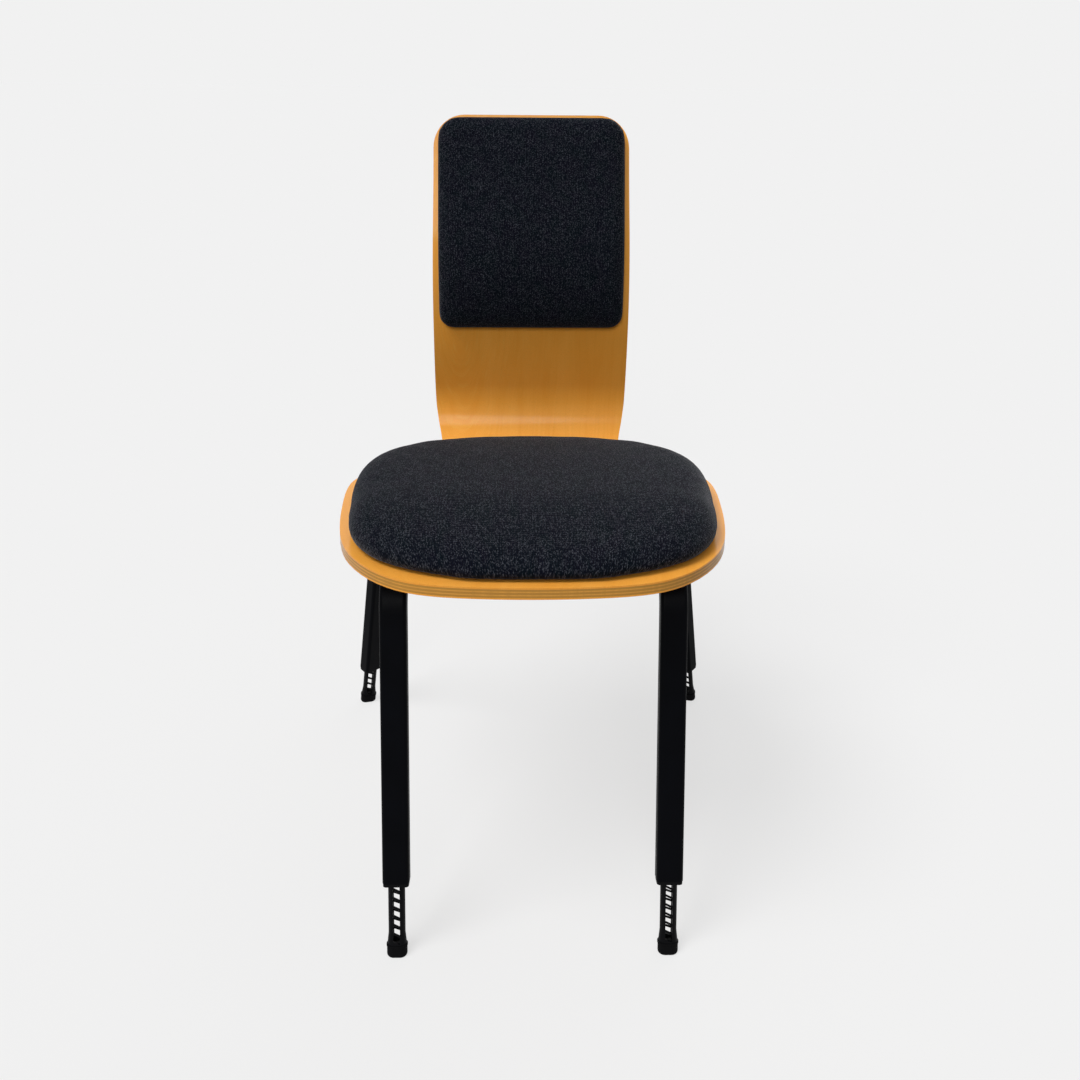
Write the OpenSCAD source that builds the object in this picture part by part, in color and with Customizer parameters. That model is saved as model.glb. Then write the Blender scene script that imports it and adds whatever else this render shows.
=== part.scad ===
// Choir chair: a one-piece moulded plywood shell with two upholstered pads, on a black steel frame
// whose four legs are set for height by notched stems. Millimetres, +Z up, +Y towards the back.

/* [Seat] */
// Height of the seat's front edge above the floor
seat_h = 461; // [430:1:490]
// Slope of the seat, down towards the back, in degrees
seat_tilt = 4.4; // [2:0.2:7]
// Largest width of the seat
seat_w = 469.4; // [440:0.2:500]
// Length of the flat seat, from its front edge to the bend
seat_flat_l = 401; // [385:1:415]
// Thickness of the moulded plywood
ply_t = 12.5; // [11:0.5:14]

/* [Back] */
// Radius of the bend between seat and back, on the sitter's side
bend_r = 75; // [68:1:85]
// Angle of that bend
bend_angle = 110.4; // [106:0.2:113]
// Length of the straight stretch above the bend
rise_l = 45; // [30:1:60]
// Radius of the lumbar curve, on the sitter's side
lumbar_r = 320; // [280:5:360]
// Angle of the lumbar curve
lumbar_angle = 34; // [30:0.5:38]
// Length of the straight upper back
back_top_l = 137.5; // [125:0.5:150]
// Largest width of the back
back_w = 265; // [250:1:280]
// Radius of the back's top corners
back_corner_r = 41; // [25:1:55]

/* [Pads] */
// Width of the seat pad
seat_pad_w = 435; // [420:1:450]
// Length of the seat pad along the shell
seat_pad_l = 441; // [425:1:450]
// Bare wood in front of the seat pad
seat_pad_margin = 11; // [6:1:20]
// Thickness of the seat pad at its crown
seat_pad_t = 44.4; // [34:0.2:52]
// Width of the back pad
back_pad_w = 245; // [220:1:250]
// Length of the back pad along the shell
back_pad_l = 274; // [250:1:285]
// Bare wood above the back pad
back_pad_margin = 6; // [4:1:20]
// Thickness of the back pad at its crown
back_pad_t = 27; // [22:1:35]
// Thickness of the boards inside the pads
board_t = 6; // [5:0.5:8]
// Distance from a pad's edge to its board
board_inset = 12; // [10:1:20]

/* [Frame] */
// Width of the leg tube, across its bending plane
tube_w = 30; // [28:0.5:34]
// Depth of the leg tube
tube_d = 20; // [19:0.5:24]
// Wall of the leg tube
tube_t = 1.5; // [1:0.1:1.8]
// Rounding of the leg tube's corners
tube_r = 4.5; // [3:0.5:6]
// Radius of the tubes' bends, at the tube's centre line
tube_bend_r = 45; // [40:1:55]
// Distance between the centres of the front feet
front_track = 306; // [290:1:320]
// Backward rake of the front legs, in degrees
front_rake = 12.4; // [9:0.2:15]
// Distance between the centres of the rear feet
rear_track = 504; // [480:1:520]
// Distance from the front feet back to the rear feet
rear_y = 500; // [480:1:515]
// Inward lean of the rear legs, in degrees
rear_lean = 10.1; // [8:0.2:12]
// Diameter of the two cross tubes
cross_tube_d = 22; // [16:1:24]
// Distance from the seat's front edge to the front cross tube
front_cross_at = 190; // [180:1:210]
// Distance from the seat's front edge to the rear cross tube
rear_cross_at = 322; // [310:1:330]
// Thickness of the spacers between frame and seat
spacer_t = 6; // [4:0.5:9]

/* [Feet] */
// Width of a stem
stem_w = 19; // [18:0.2:19.6]
// Depth of a stem
stem_d = 12; // [11:0.2:12.4]
// Distance from one notch of a stem to the next
notch_pitch = 10.6; // [10:0.1:11.2]
// Notches that the front stems show more than the rear ones
extra_front_notches = 2; // [0:1:3]
// Length of stem that shows below a front leg
front_stem_out = 71; // [66:0.5:76]
// Turn of the rear stems in their tubes, in degrees
rear_stem_turn = 150; // [145:1:155]
// Height of the rubber foot's side
foot_l = 13; // [11:0.5:15]
// How far the rubber foot stands out past the stem, all round
foot_lip = 2; // [1.5:0.1:3]

/* [Fasteners] */
// Diameter of the seat screws
seat_screw_d = 6; // [5:0.5:8]
// Diameter of the pad screws
pad_screw_d = 4; // [3.5:0.5:5]
// Diameter of the guide rivets
rivet_d = 4; // [3:0.2:4.8]

/* [Hidden] */
$fn = 64;

// Clearances and the overrun of cuts
fit_gap = 0.15;
soft_gap = 0.3;
screw_gap = 0.25;
tight_gap = 0.05;
weld_l = 0.5;
weld_skin = 0.01;
overrun = 2;
pocket_overrun = 6;
reach = 1200;

// Colours
wood_color = "#d08f35";
fabric_color = "#1d222b";
steel_color = "#141414";
plastic_color = "#1c1c1e";
rubber_color = "#0d0d0d";
zinc_color = "#a9adb0";

// The shell's path, seen from the side: place and heading at the start of each stretch
bend_l = bend_r * bend_angle * PI / 180;
lumbar_l = lumbar_r * lumbar_angle * PI / 180;
bend_at = seat_flat_l;
rise_at = bend_at + bend_l;
lumbar_at = rise_at + rise_l;
top_at = lumbar_at + lumbar_l;
shell_l = top_at + back_top_l;
rise_heading = bend_angle - seat_tilt;
top_heading = rise_heading - lumbar_angle;

function ahead(p, heading, l) = p + l * [cos(heading), sin(heading)];
function along_arc(p, heading, r, turn) =
    p + r * [sin(heading + turn) - sin(heading), cos(heading) - cos(heading + turn)];

p_front = [0, seat_h];
p_bend = ahead(p_front, -seat_tilt, seat_flat_l);
p_rise = along_arc(p_bend, -seat_tilt, bend_r, bend_angle);
p_lumbar = ahead(p_rise, rise_heading, rise_l);
p_top = along_arc(p_lumbar, rise_heading, -lumbar_r, -lumbar_angle);
p_end = ahead(p_top, top_heading, back_top_l);

function degrees(l, r) = l / r * 180 / PI;
function heading_at(s) =
    s < bend_at ? -seat_tilt
    : s < rise_at ? -seat_tilt + degrees(s - bend_at, bend_r)
    : s < lumbar_at ? rise_heading
    : s < top_at ? rise_heading - degrees(s - lumbar_at, lumbar_r)
    : top_heading;
function place_at(s) =
    s < bend_at ? ahead(p_front, -seat_tilt, s)
    : s < rise_at ? along_arc(p_bend, -seat_tilt, bend_r, degrees(s - bend_at, bend_r))
    : s < lumbar_at ? ahead(p_rise, rise_heading, s - rise_at)
    : s < top_at ? along_arc(p_lumbar, rise_heading, -lumbar_r, -degrees(s - lumbar_at, lumbar_r))
    : ahead(p_top, top_heading, s - top_at);

// A point over the shell: x across, s along the path, h out from the wood
function over_shell(x, s, h) =
    let (p = place_at(s), a = heading_at(s)) [x, p[0] - h * sin(a), p[1] + h * cos(a)];

// The chair's origin is the centre of its footprint box, on the floor
foot_edge_r = 4;
foot_bead = 0.5;
foot_bead_l = 2;
foot_w = stem_w + 2 * foot_lip;
foot_d = stem_d + 2 * foot_lip;
foot_sink = 2;
front_reach = (foot_d / 2 - foot_edge_r) * cos(front_rake) - (foot_edge_r - foot_sink) * sin(front_rake)
    + foot_edge_r;
back_reach = p_end[0] + ply_t * sin(top_heading);
origin_y = (back_reach - front_reach) / 2;

// The frame rails lie in a plane under the seat
rail_drop = ply_t + spacer_t + tube_d / 2;
rail_x = front_track / 2;
rear_x = rear_track / 2;
rear_plan_turn = 45;
front_corner_l = (seat_h * cos(seat_tilt) - rail_drop) / cos(front_rake - seat_tilt);
front_bend = 90 - front_rake + seat_tilt;
rail_corner_at = (front_corner_l * sin(front_rake) + rail_drop * sin(seat_tilt)) / cos(seat_tilt);
run_slope = atan(tan(seat_tilt) * cos(rear_plan_turn));
rear_corner_l = (seat_h - rail_drop / cos(seat_tilt) - rear_y * tan(seat_tilt))
    / (cos(rear_lean) - sin(rear_lean) * tan(seat_tilt) * cos(rear_plan_turn));
rear_bend = 90 - rear_lean - run_slope;
run_l = ((rear_x - rail_x) / sin(rear_plan_turn) - rear_corner_l * sin(rear_lean)) / cos(run_slope);
mitre_y = rear_y - (rear_x - rail_x) / tan(rear_plan_turn);
mitre_at = (mitre_y + rail_drop * sin(seat_tilt)) / cos(seat_tilt);
mitre_turn = atan2(sin(rear_plan_turn) * cos(run_slope),
    cos(rear_plan_turn) * cos(run_slope) * cos(seat_tilt) + sin(run_slope) * sin(seat_tilt)) / 2;

// Stems, guides and catches, measured along the leg from the floor
notch_count = 14;
notch_bar = 2;
notch_w = 7.6;
front_bar_drop = 3.8;
rear_bar_drop = 2.7;
rear_bar_lift = 1.7;
notch_side = 0.7;
first_notch_up = 7;
first_notch_at = foot_l + first_notch_up;
bore_floor_t = 1.5;
notch_floor = foot_l + bore_floor_t;
stem_wall = 1.7;
stem_bore_w = notch_w + 2 * notch_side;
stem_flare_l = 14;
head_clear_share = 0.25;
stem_head_at = first_notch_at + (notch_count + head_clear_share) * notch_pitch;
stem_head_l = 6;
stem_head_lip = 1;
stem_flare_lip = 1.5;
peg_lip = 2;
foot_floor_t = 3;
peg_l = foot_l - foot_floor_t;
front_tube_at = foot_l + front_stem_out;
rear_tube_at = front_tube_at - extra_front_notches * notch_pitch;
rim_t = 4;
rim_in = 0.6;
guide_l = 36;
catch_t = 0.6;
catch_w = 6;
catch_out = 1.2;
catch_notch = 9;
catch_tip_l = 2;
catch_nose_l = 6;
catch_bite = 1.3;
catch_tip_y = stem_d / 2 - catch_bite;
catch_foot_at = 10;
catch_window_l = 8;
rivet_at = 5;
rivet_x = 8.5;
rivet_head_lip = 1.5;
rivet_head_d = rivet_d + 2 * rivet_head_lip;
rivet_head_t = 1.2;
rivet_grip = 1.6;

// Fasteners under the seat and behind the back
seat_screw_y = [150, 352];
screw_head_share = 2;
seat_screw_head_d = seat_screw_d * screw_head_share;
seat_screw_head_t = 3.2;
seat_screw_tip = 3;
spacer_d = 24;
nut_wall = 1;
nut_barrel_d = seat_screw_d + 2 * nut_wall;
nut_barrel_l = 9;
nut_flange_d = 17;
nut_flange_t = 1.2;
pad_screw_head_d = pad_screw_d * screw_head_share;
pad_screw_head_t = 2.4;
pad_screw_short = 1;
pad_screw_bite = board_t - pad_screw_short;
seat_pad_screw_x = 105;
seat_pad_screw_y = [105, 290];
back_pad_screw_x = 75;
back_pad_screw_shares = [0.2, 0.82];

// Outlines, as shares of half a width and of a length. The first and last points only steer the curve.
neck_reach = 47;
seat_plan_l = seat_flat_l + neck_reach;
seat_shares = [
    [-0.256, 0.0056], [0, 0], [0.256, 0.0056], [0.456, 0.021], [0.601, 0.0525], [0.737, 0.116],
    [0.848, 0.2065], [0.914, 0.304], [0.957, 0.429], [0.984, 0.560], [0.999, 0.683], [0.985, 0.775],
    [0.918, 0.848], [0.818, 0.897], [0.707, 0.931], [0.605, 0.9575], [0.541, 0.9775], [0.512, 1],
    [0.512, 1.04]
];
back_shares = [
    [0.87, -0.02], [0.907, 0], [0.930, 0.016], [0.942, 0.031], [0.966, 0.061], [0.983, 0.092],
    [0.996, 0.128], [1, 0.196], [0.993, 0.354], [0.987, 0.556], [0.977, 0.782], [0.975, 0.900],
    [0.975, 1]
];
seat_pad_shares = [
    [-0.290, 0.005], [0, 0], [0.290, 0.005], [0.426, 0.023], [0.603, 0.058], [0.771, 0.116],
    [0.889, 0.200], [0.947, 0.294], [0.975, 0.419], [1, 0.553], [0.998, 0.681], [0.956, 0.773],
    [0.872, 0.848], [0.741, 0.912], [0.565, 0.962], [0.315, 0.992], [0, 1], [-0.315, 0.992]
];
curve_steps = 3;
corner_steps = 8;

function spline(a, b, c, d, t) =
    0.5 * (2 * b + (c - a) * t + (2 * a - 5 * b + 4 * c - d) * t * t + (3 * (b - c) + d - a) * t * t * t);
function smooth(p) = [
    for (i = [1 : len(p) - 3], k = [0 : curve_steps - 1])
        spline(p[i - 1], p[i], p[i + 1], p[i + 2], k / curve_steps),
    p[len(p) - 2]
];
function scaled(p, w, l) = [for (q = p) [q[0] * w, q[1] * l]];
function last(p) = p[len(p) - 1];
// The left side of an outline, run backwards, down to the point after its first
function left_side(p, skip) = [for (i = [len(p) - 1 - skip : -1 : 1]) [-p[i][0], p[i][1]]];

// Half outlines of the shell: from the front centre round to the neck, and from the neck to the top
seat_half = smooth(scaled(seat_shares, seat_w / 2, seat_plan_l));
neck_half_w = last(seat_half)[0];
neck_bend = asin(neck_reach / bend_r);
neck_z = along_arc(p_bend, -seat_tilt, bend_r, neck_bend)[1];
back_rise = p_end[1] - neck_z;
back_half = smooth(scaled(back_shares, back_w / 2, back_rise));
top_half_w = last(back_half)[0];
back_side = [for (q = back_half) if (q[1] > 0 && q[1] < back_rise - back_corner_r) q];
top_corner = [for (i = [0 : corner_steps]) let (a = i / corner_steps * 90)
    [top_half_w - back_corner_r * (1 - cos(a)), back_rise - back_corner_r * (1 - sin(a))]];
back_outline_half = concat([[0, 0], [neck_half_w, 0]], back_side, top_corner,
    [[top_half_w - back_corner_r, back_rise + overrun]]);

// Pad outlines, x across and y along the shell's path
seat_pad_half = smooth(scaled(seat_pad_shares, seat_pad_w / 2, seat_pad_l));
seat_pad_outline = [for (q = concat(seat_pad_half, left_side(seat_pad_half, 1))) q + [0, seat_pad_margin]];
back_pad_end_at = shell_l - back_pad_margin;
back_pad_start_at = back_pad_end_at - back_pad_l;
back_pad_low_r = 20;
back_pad_high_r = 29;
back_pad_side_steps = 10;
function corner_arc(x, y, r, from) = [for (i = [0 : corner_steps]) let (a = from + i / corner_steps * 90)
    [x + r * cos(a), y + r * sin(a)]];
function pad_half(w, l, low_r, high_r) = concat(
    [[0, 0]],
    corner_arc(w / 2 - low_r, low_r, low_r, -90),
    [for (i = [1 : back_pad_side_steps - 1])
        [w / 2, low_r + i / back_pad_side_steps * (l - low_r - high_r)]],
    corner_arc(w / 2 - high_r, l - high_r, high_r, 0),
    [[0, l]]
);
back_pad_half = pad_half(back_pad_w, back_pad_l, back_pad_low_r, back_pad_high_r);
back_pad_outline = [for (q = concat(back_pad_half, left_side(back_pad_half, 1))) q + [0, back_pad_start_at]];

// A pad's cross-section at its edge: how far in from the outline, as a share of the roll, and how
// high, as a share of the thickness; then the rings of its crown: size and height as shares
pad_edge_shares = [
    [0.34, 0], [0.12, 0.13], [0, 0.30], [0.05, 0.48], [0.22, 0.64], [0.52, 0.77], [1, 0.865]
];
pad_crown_shares = [[0.84, 0.925], [0.62, 0.967], [0.34, 0.992]];
pad_base_shares = [0.5, 0.86, 0.94];
seat_pad_roll = 21;
back_pad_roll = 14;

function outward(p, i) =
    let (n = len(p), t = p[(i + 1) % n] - p[(i + n - 1) % n]) [t[1], -t[0]] / norm(t);
function inset(p, d) = [for (i = [0 : len(p) - 1]) p[i] - d * outward(p, i)];
function middle(p) = let (y = [for (q = p) q[1]]) [0, (max(y) + min(y)) / 2];
function shrunk(p, k) = let (m = middle(p)) [for (q = p) m + k * (q - m)];
function ring(p, h) = [for (q = p) over_shell(q[0], q[1], h)];

// Placing on the shell, on the seat's plane and on the legs
module in_place() translate([0, -origin_y, 0]) children();
module on_shell(s) translate([0, place_at(s)[0], place_at(s)[1]]) rotate([heading_at(s), 0, 0]) children();
module on_seat() on_shell(0) children();
module on_front_leg(side) translate([side * rail_x, 0, 0]) rotate([-front_rake, 0, 0]) children();
module on_rear_leg(side) translate([side * rear_x, rear_y, 0])
    rotate([0, 0, side * (180 - rear_plan_turn)]) rotate([-rear_lean, 0, 0]) children();

// Flat shapes
module oval(w, d) {
    square([w - d, d], center = true);
    for (x = [-1, 1]) translate([x * (w - d) / 2, 0]) circle(d = d);
}
module rounded_rect(w, d, r) {
    square([w - 2 * r, d], center = true);
    square([w, d - 2 * r], center = true);
    for (x = [-1, 1], y = [-1, 1]) translate([x * (w / 2 - r), y * (d / 2 - r)]) circle(r);
}
module tube_ring(skin = 0) difference() {
    rounded_rect(tube_w + 2 * skin, tube_d + 2 * skin, tube_r + skin);
    rounded_rect(tube_w - 2 * tube_t - 2 * skin, tube_d - 2 * tube_t - 2 * skin, tube_r - tube_t - skin);
}
// A solid of oval plan with the child as its half profile
module oval_turned(gap) {
    for (x = [-1, 1]) translate([x * gap / 2, 0, 0]) rotate_extrude() children();
    translate([-gap / 2, 0, 0]) rotate([90, 0, 90]) linear_extrude(gap) {
        children();
        mirror([1, 0]) children();
    }
}

// A layer over the shell's path, from offset h0 to h1 out from the wood
path_steps = 24;
path_stops = [
    for (i = [0 : path_steps]) bend_at + i / path_steps * bend_l,
    for (i = [0 : path_steps]) lumbar_at + i / path_steps * lumbar_l
];
module layer(w, h0, h1, s0, s1) {
    stops = concat([s0], [for (s = path_stops) if (s > s0 + soft_gap && s < s1 - soft_gap) s], [s1]);
    outer = [for (s = stops) over_shell(0, s, h1)];
    inner = [for (i = [len(stops) - 1 : -1 : 0]) over_shell(0, stops[i], h0)];
    translate([-w / 2, 0, 0]) rotate([90, 0, 90]) linear_extrude(w)
        polygon([for (q = concat(outer, inner)) [q[1], q[2]]]);
}

// The shell's seat and back outlines meet at the neck, behind the start of the bend
module above_neck() translate([-reach / 2, p_bend[0], neck_z]) cube(reach);
module seat_prism() difference() {
    on_seat() translate([0, 0, -reach / 2]) linear_extrude(reach) polygon(concat(
        seat_half, [[neck_half_w, reach], [-neck_half_w, reach]], left_side(seat_half, 0)));
    above_neck();
}
module back_prism() intersection() {
    translate([0, reach, neck_z]) rotate([90, 0, 0]) linear_extrude(2 * reach)
        polygon(concat(back_outline_half, left_side(back_outline_half, 0)));
    above_neck();
}

// Holes and screws stand along the path at each of these
module at_seat_screws() for (x = [-1, 1], y = seat_screw_y)
    on_seat() translate([x * rail_x, y, 0]) children();
module at_seat_pad_screws() for (x = [-1, 1], y = seat_pad_screw_y)
    on_seat() translate([x * seat_pad_screw_x, y, 0]) children();
module at_back_pad_screws() for (x = [-1, 1], k = back_pad_screw_shares)
    on_shell(back_pad_start_at + k * back_pad_l) translate([x * back_pad_screw_x, 0, 0]) children();
module hole(d, from, to) translate([0, 0, from]) cylinder(d = d, h = to - from);

module shell() in_place() color(wood_color) difference() {
    intersection() {
        layer(seat_w + 2 * overrun, -ply_t, 0, 0, shell_l);
        union() {
            seat_prism();
            back_prism();
        }
    }
    at_seat_screws() {
        hole(nut_barrel_d + 2 * tight_gap, -ply_t - overrun, overrun);
        hole(nut_flange_d + 2 * tight_gap, -nut_flange_t - tight_gap, overrun);
    }
    at_seat_pad_screws() hole(pad_screw_d + 2 * screw_gap, -ply_t - overrun, overrun);
    at_back_pad_screws() hole(pad_screw_d + 2 * screw_gap, -ply_t - overrun, overrun);
}

// A crowned cushion: rings from the middle of its base out, round its edge and in over its crown
module cushion(outline, t, roll) {
    base = inset(outline, pad_edge_shares[0][0] * roll);
    top = inset(outline, roll);
    n = len(outline);
    rings = concat(
        [for (k = pad_base_shares) ring(shrunk(base, k), soft_gap)],
        [for (k = pad_edge_shares) ring(inset(outline, k[0] * roll), soft_gap + k[1] * t)],
        [for (k = pad_crown_shares) ring(shrunk(top, k[0]), soft_gap + k[1] * t)]
    );
    m = middle(outline);
    count = len(rings);
    points = concat([for (r = rings) for (q = r) q],
        [over_shell(m[0], m[1], soft_gap), over_shell(m[0], m[1], soft_gap + t)]);
    sides = [for (k = [0 : count - 2], i = [0 : n - 1]) let (j = (i + 1) % n, a = k * n, b = a + n)
        each [[a + i, b + i, b + j], [a + i, b + j, a + j]]];
    base_fan = [for (i = [0 : n - 1]) [i, (i + 1) % n, count * n]];
    top_fan = [for (i = [0 : n - 1]) let (a = (count - 1) * n) [a + (i + 1) % n, a + i, count * n + 1]];
    polyhedron(points, concat(sides, base_fan, top_fan), convexity = 6);
}
module seat_board(grow) intersection() {
    on_seat() hole_prism(inset(seat_pad_outline, board_inset - grow), soft_gap - pocket_overrun * sign(grow),
        soft_gap + board_t + grow);
    on_seat() translate([-reach / 2, -reach + seat_flat_l - board_inset + grow, -reach / 2]) cube(reach);
}
module hole_prism(p, from, to) translate([0, 0, from]) linear_extrude(to - from) polygon(p);
module back_board(grow) layer(back_pad_w - 2 * (board_inset - grow),
    soft_gap - pocket_overrun * sign(grow), soft_gap + board_t + grow,
    back_pad_start_at + board_inset - grow, back_pad_end_at - board_inset + grow);

module seat_pad() in_place() color(fabric_color) difference() {
    cushion(seat_pad_outline, seat_pad_t, seat_pad_roll);
    seat_board(soft_gap);
}
module seat_pad_board() in_place() color(wood_color) difference() {
    seat_board(0);
    at_seat_pad_screws() hole(pad_screw_d + 2 * tight_gap, -overrun, soft_gap + pad_screw_bite + tight_gap);
}
module back_pad() in_place() color(fabric_color) difference() {
    cushion(back_pad_outline, back_pad_t, back_pad_roll);
    back_board(soft_gap);
}
module back_pad_board() in_place() color(wood_color) difference() {
    back_board(0);
    at_back_pad_screws() hole(pad_screw_d + 2 * tight_gap, -overrun, soft_gap + pad_screw_bite + tight_gap);
}
module pad_screw() {
    hole(pad_screw_head_d, -ply_t - tight_gap - pad_screw_head_t, -ply_t - tight_gap);
    hole(pad_screw_d, -ply_t - tight_gap - overrun, soft_gap + pad_screw_bite);
}
module seat_pad_screws() in_place() color(zinc_color) at_seat_pad_screws() pad_screw();
module back_pad_screws() in_place() color(zinc_color) at_back_pad_screws() pad_screw();

// Seat fixings, measured down from the seat's upper face
module seat_spacers() in_place() color(plastic_color) at_seat_screws() difference() {
    hole(spacer_d, -ply_t - spacer_t, -ply_t);
    hole(seat_screw_d + 2 * screw_gap, -ply_t - spacer_t - overrun, -ply_t + overrun);
}
module seat_screws() in_place() color(zinc_color) at_seat_screws() {
    hole(seat_screw_head_d, -rail_drop - tube_d / 2 - seat_screw_head_t, -rail_drop - tube_d / 2);
    hole(seat_screw_d, -rail_drop - tube_d / 2 - overrun, -seat_screw_tip);
}
module seat_nuts() in_place() color(zinc_color) at_seat_screws() difference() {
    union() {
        hole(nut_barrel_d, -nut_flange_t - nut_barrel_l, 0);
        hole(nut_flange_d, -nut_flange_t, 0);
    }
    hole(seat_screw_d + 2 * tight_gap, -reach, overrun);
}

// A leg: up from its end, round the bend under the seat and along to the mitre. A collar a hair
// larger than the tube covers the seam of bend and run, so that the two are one piece.
module bent_tube(from, corner, bend, run) {
    tangent = tube_bend_r * tan(bend / 2);
    translate([0, 0, from]) linear_extrude(corner - tangent - from) tube_ring();
    translate([0, tube_bend_r, corner - tangent]) rotate([90, 0, -90])
        rotate_extrude(angle = bend, $fn = 120) translate([tube_bend_r, 0]) rotate(90) tube_ring();
    translate([0, tube_bend_r * (1 - cos(bend)), corner - tangent + tube_bend_r * sin(bend)])
        rotate([-bend, 0, 0]) {
            linear_extrude(run - tangent + tube_w) tube_ring();
            translate([0, 0, -weld_l]) linear_extrude(2 * weld_l) tube_ring(weld_skin);
        }
}
// Everything ahead of the mitre, or behind it
module mitre_half(side, behind) on_seat() translate([side * rail_x, mitre_at, -rail_drop])
    rotate([0, 0, -side * mitre_turn]) translate([-reach, behind ? 0 : -2 * reach, -reach]) cube(2 * reach);
module rivet_axis(side, face) translate([side * rivet_x, face * tube_d / 2, rim_t + rivet_at])
    rotate([-face * 90, 0, 0]) children();

module front_leg(side) in_place() color(steel_color) difference() {
    intersection() {
        on_front_leg(side)
            bent_tube(front_tube_at + rim_t, front_corner_l, front_bend, mitre_at - rail_corner_at);
        mitre_half(side, false);
    }
    at_seat_screws() hole(seat_screw_d + 2 * screw_gap, -rail_drop - tube_d, -ply_t);
    on_front_leg(side) translate([0, 0, front_tube_at]) rivet_axis(side, 1) rivet_hole();
}
module rear_leg(side) in_place() color(steel_color) difference() {
    intersection() {
        on_rear_leg(side) bent_tube(rear_tube_at + rim_t, rear_corner_l, rear_bend, run_l);
        mitre_half(side, true);
    }
    on_rear_leg(side) translate([0, 0, rear_tube_at]) rivet_axis(side, -1) rivet_hole();
}
module front_leg_left() front_leg(-1);
module front_leg_right() front_leg(1);
module rear_leg_left() rear_leg(-1);
module rear_leg_right() rear_leg(1);

module cross_tube(at) in_place() color(steel_color) on_seat() translate([0, at, -rail_drop])
    rotate([0, 90, 0]) difference() {
        cylinder(d = cross_tube_d, h = front_track - tube_w, center = true);
        cylinder(d = cross_tube_d - 2 * tube_t, h = front_track, center = true);
    }
module front_cross_tube() cross_tube(front_cross_at);
module rear_cross_tube() cross_tube(rear_cross_at);

// Rivets stand on the leg's axis frame, out of its back or front face
module rivet_hole() hole(rivet_d + 2 * tight_gap, -tube_t - rivet_grip - tight_gap, overrun);
module rivet() {
    hole(rivet_d, -tube_t - rivet_grip, rivet_head_t);
    hole(rivet_head_d, tight_gap, rivet_head_t);
}
module guide_rivets() in_place() color(steel_color) for (side = [-1, 1]) {
    on_front_leg(side) translate([0, 0, front_tube_at]) rivet_axis(side, 1) rivet();
    on_rear_leg(side) translate([0, 0, rear_tube_at]) rivet_axis(side, -1) rivet();
}

// The guide that closes a tube's end, from the lower face of its rim up; turn is the stem's
catch_y = stem_d / 2 + catch_out;
catch_nose_at = first_notch_at + catch_notch * notch_pitch + rear_bar_lift - front_tube_at;
module guide(side, face, turn) color(plastic_color) difference() {
    union() {
        linear_extrude(rim_t) rounded_rect(tube_w - 2 * rim_in, tube_d - 2 * rim_in, tube_r - rim_in);
        linear_extrude(rim_t + guide_l) rounded_rect(tube_w - 2 * tube_t - 2 * fit_gap,
            tube_d - 2 * tube_t - 2 * fit_gap, tube_r - tube_t - fit_gap);
    }
    rotate(turn) {
        translate([0, 0, -overrun]) linear_extrude(reach) oval(stem_w + 2 * fit_gap, stem_d + 2 * fit_gap);
        translate([-catch_w / 2 - tight_gap, catch_y - tight_gap, rim_t + catch_foot_at])
            cube([catch_w + 2 * tight_gap, stem_w, reach]);
        translate([-catch_w / 2 - tight_gap, 0, catch_nose_at - catch_window_l / 2])
            cube([catch_w + 2 * tight_gap, stem_w, catch_window_l]);
    }
    rivet_axis(side, face) rivet_hole();
}
module guide_front(side) in_place() on_front_leg(side) translate([0, 0, front_tube_at]) guide(side, 1, 0);
module guide_rear(side) in_place() on_rear_leg(side) translate([0, 0, rear_tube_at])
    guide(side, -1, -side * rear_stem_turn);
module guide_front_left() guide_front(-1);
module guide_front_right() guide_front(1);
module guide_rear_left() guide_rear(-1);
module guide_rear_right() guide_rear(1);

// The catch: a flat spring beside the stem, its nose bent in through the guide into a notch
module catch() color(zinc_color) translate([-catch_w / 2, 0, 0]) rotate([90, 0, 90]) linear_extrude(catch_w)
    polygon([
        [catch_y, rim_t + catch_foot_at + tight_gap],
        [catch_y + catch_t, rim_t + catch_foot_at + tight_gap],
        [catch_y + catch_t, rim_t + guide_l],
        [catch_y, rim_t + guide_l],
        [catch_y, catch_nose_at + catch_nose_l / 2],
        [catch_tip_y, catch_nose_at + catch_tip_l / 2],
        [catch_tip_y, catch_nose_at - catch_tip_l / 2],
        [catch_y, catch_nose_at - catch_nose_l / 2]
    ]);
module catch_front(side) in_place() on_front_leg(side) translate([0, 0, front_tube_at]) catch();
module catch_rear(side) in_place() on_rear_leg(side) translate([0, 0, rear_tube_at])
    rotate(-side * rear_stem_turn) catch();
module catch_front_left() catch_front(-1);
module catch_front_right() catch_front(1);
module catch_rear_left() catch_rear(-1);
module catch_rear_right() catch_rear(1);

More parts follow.
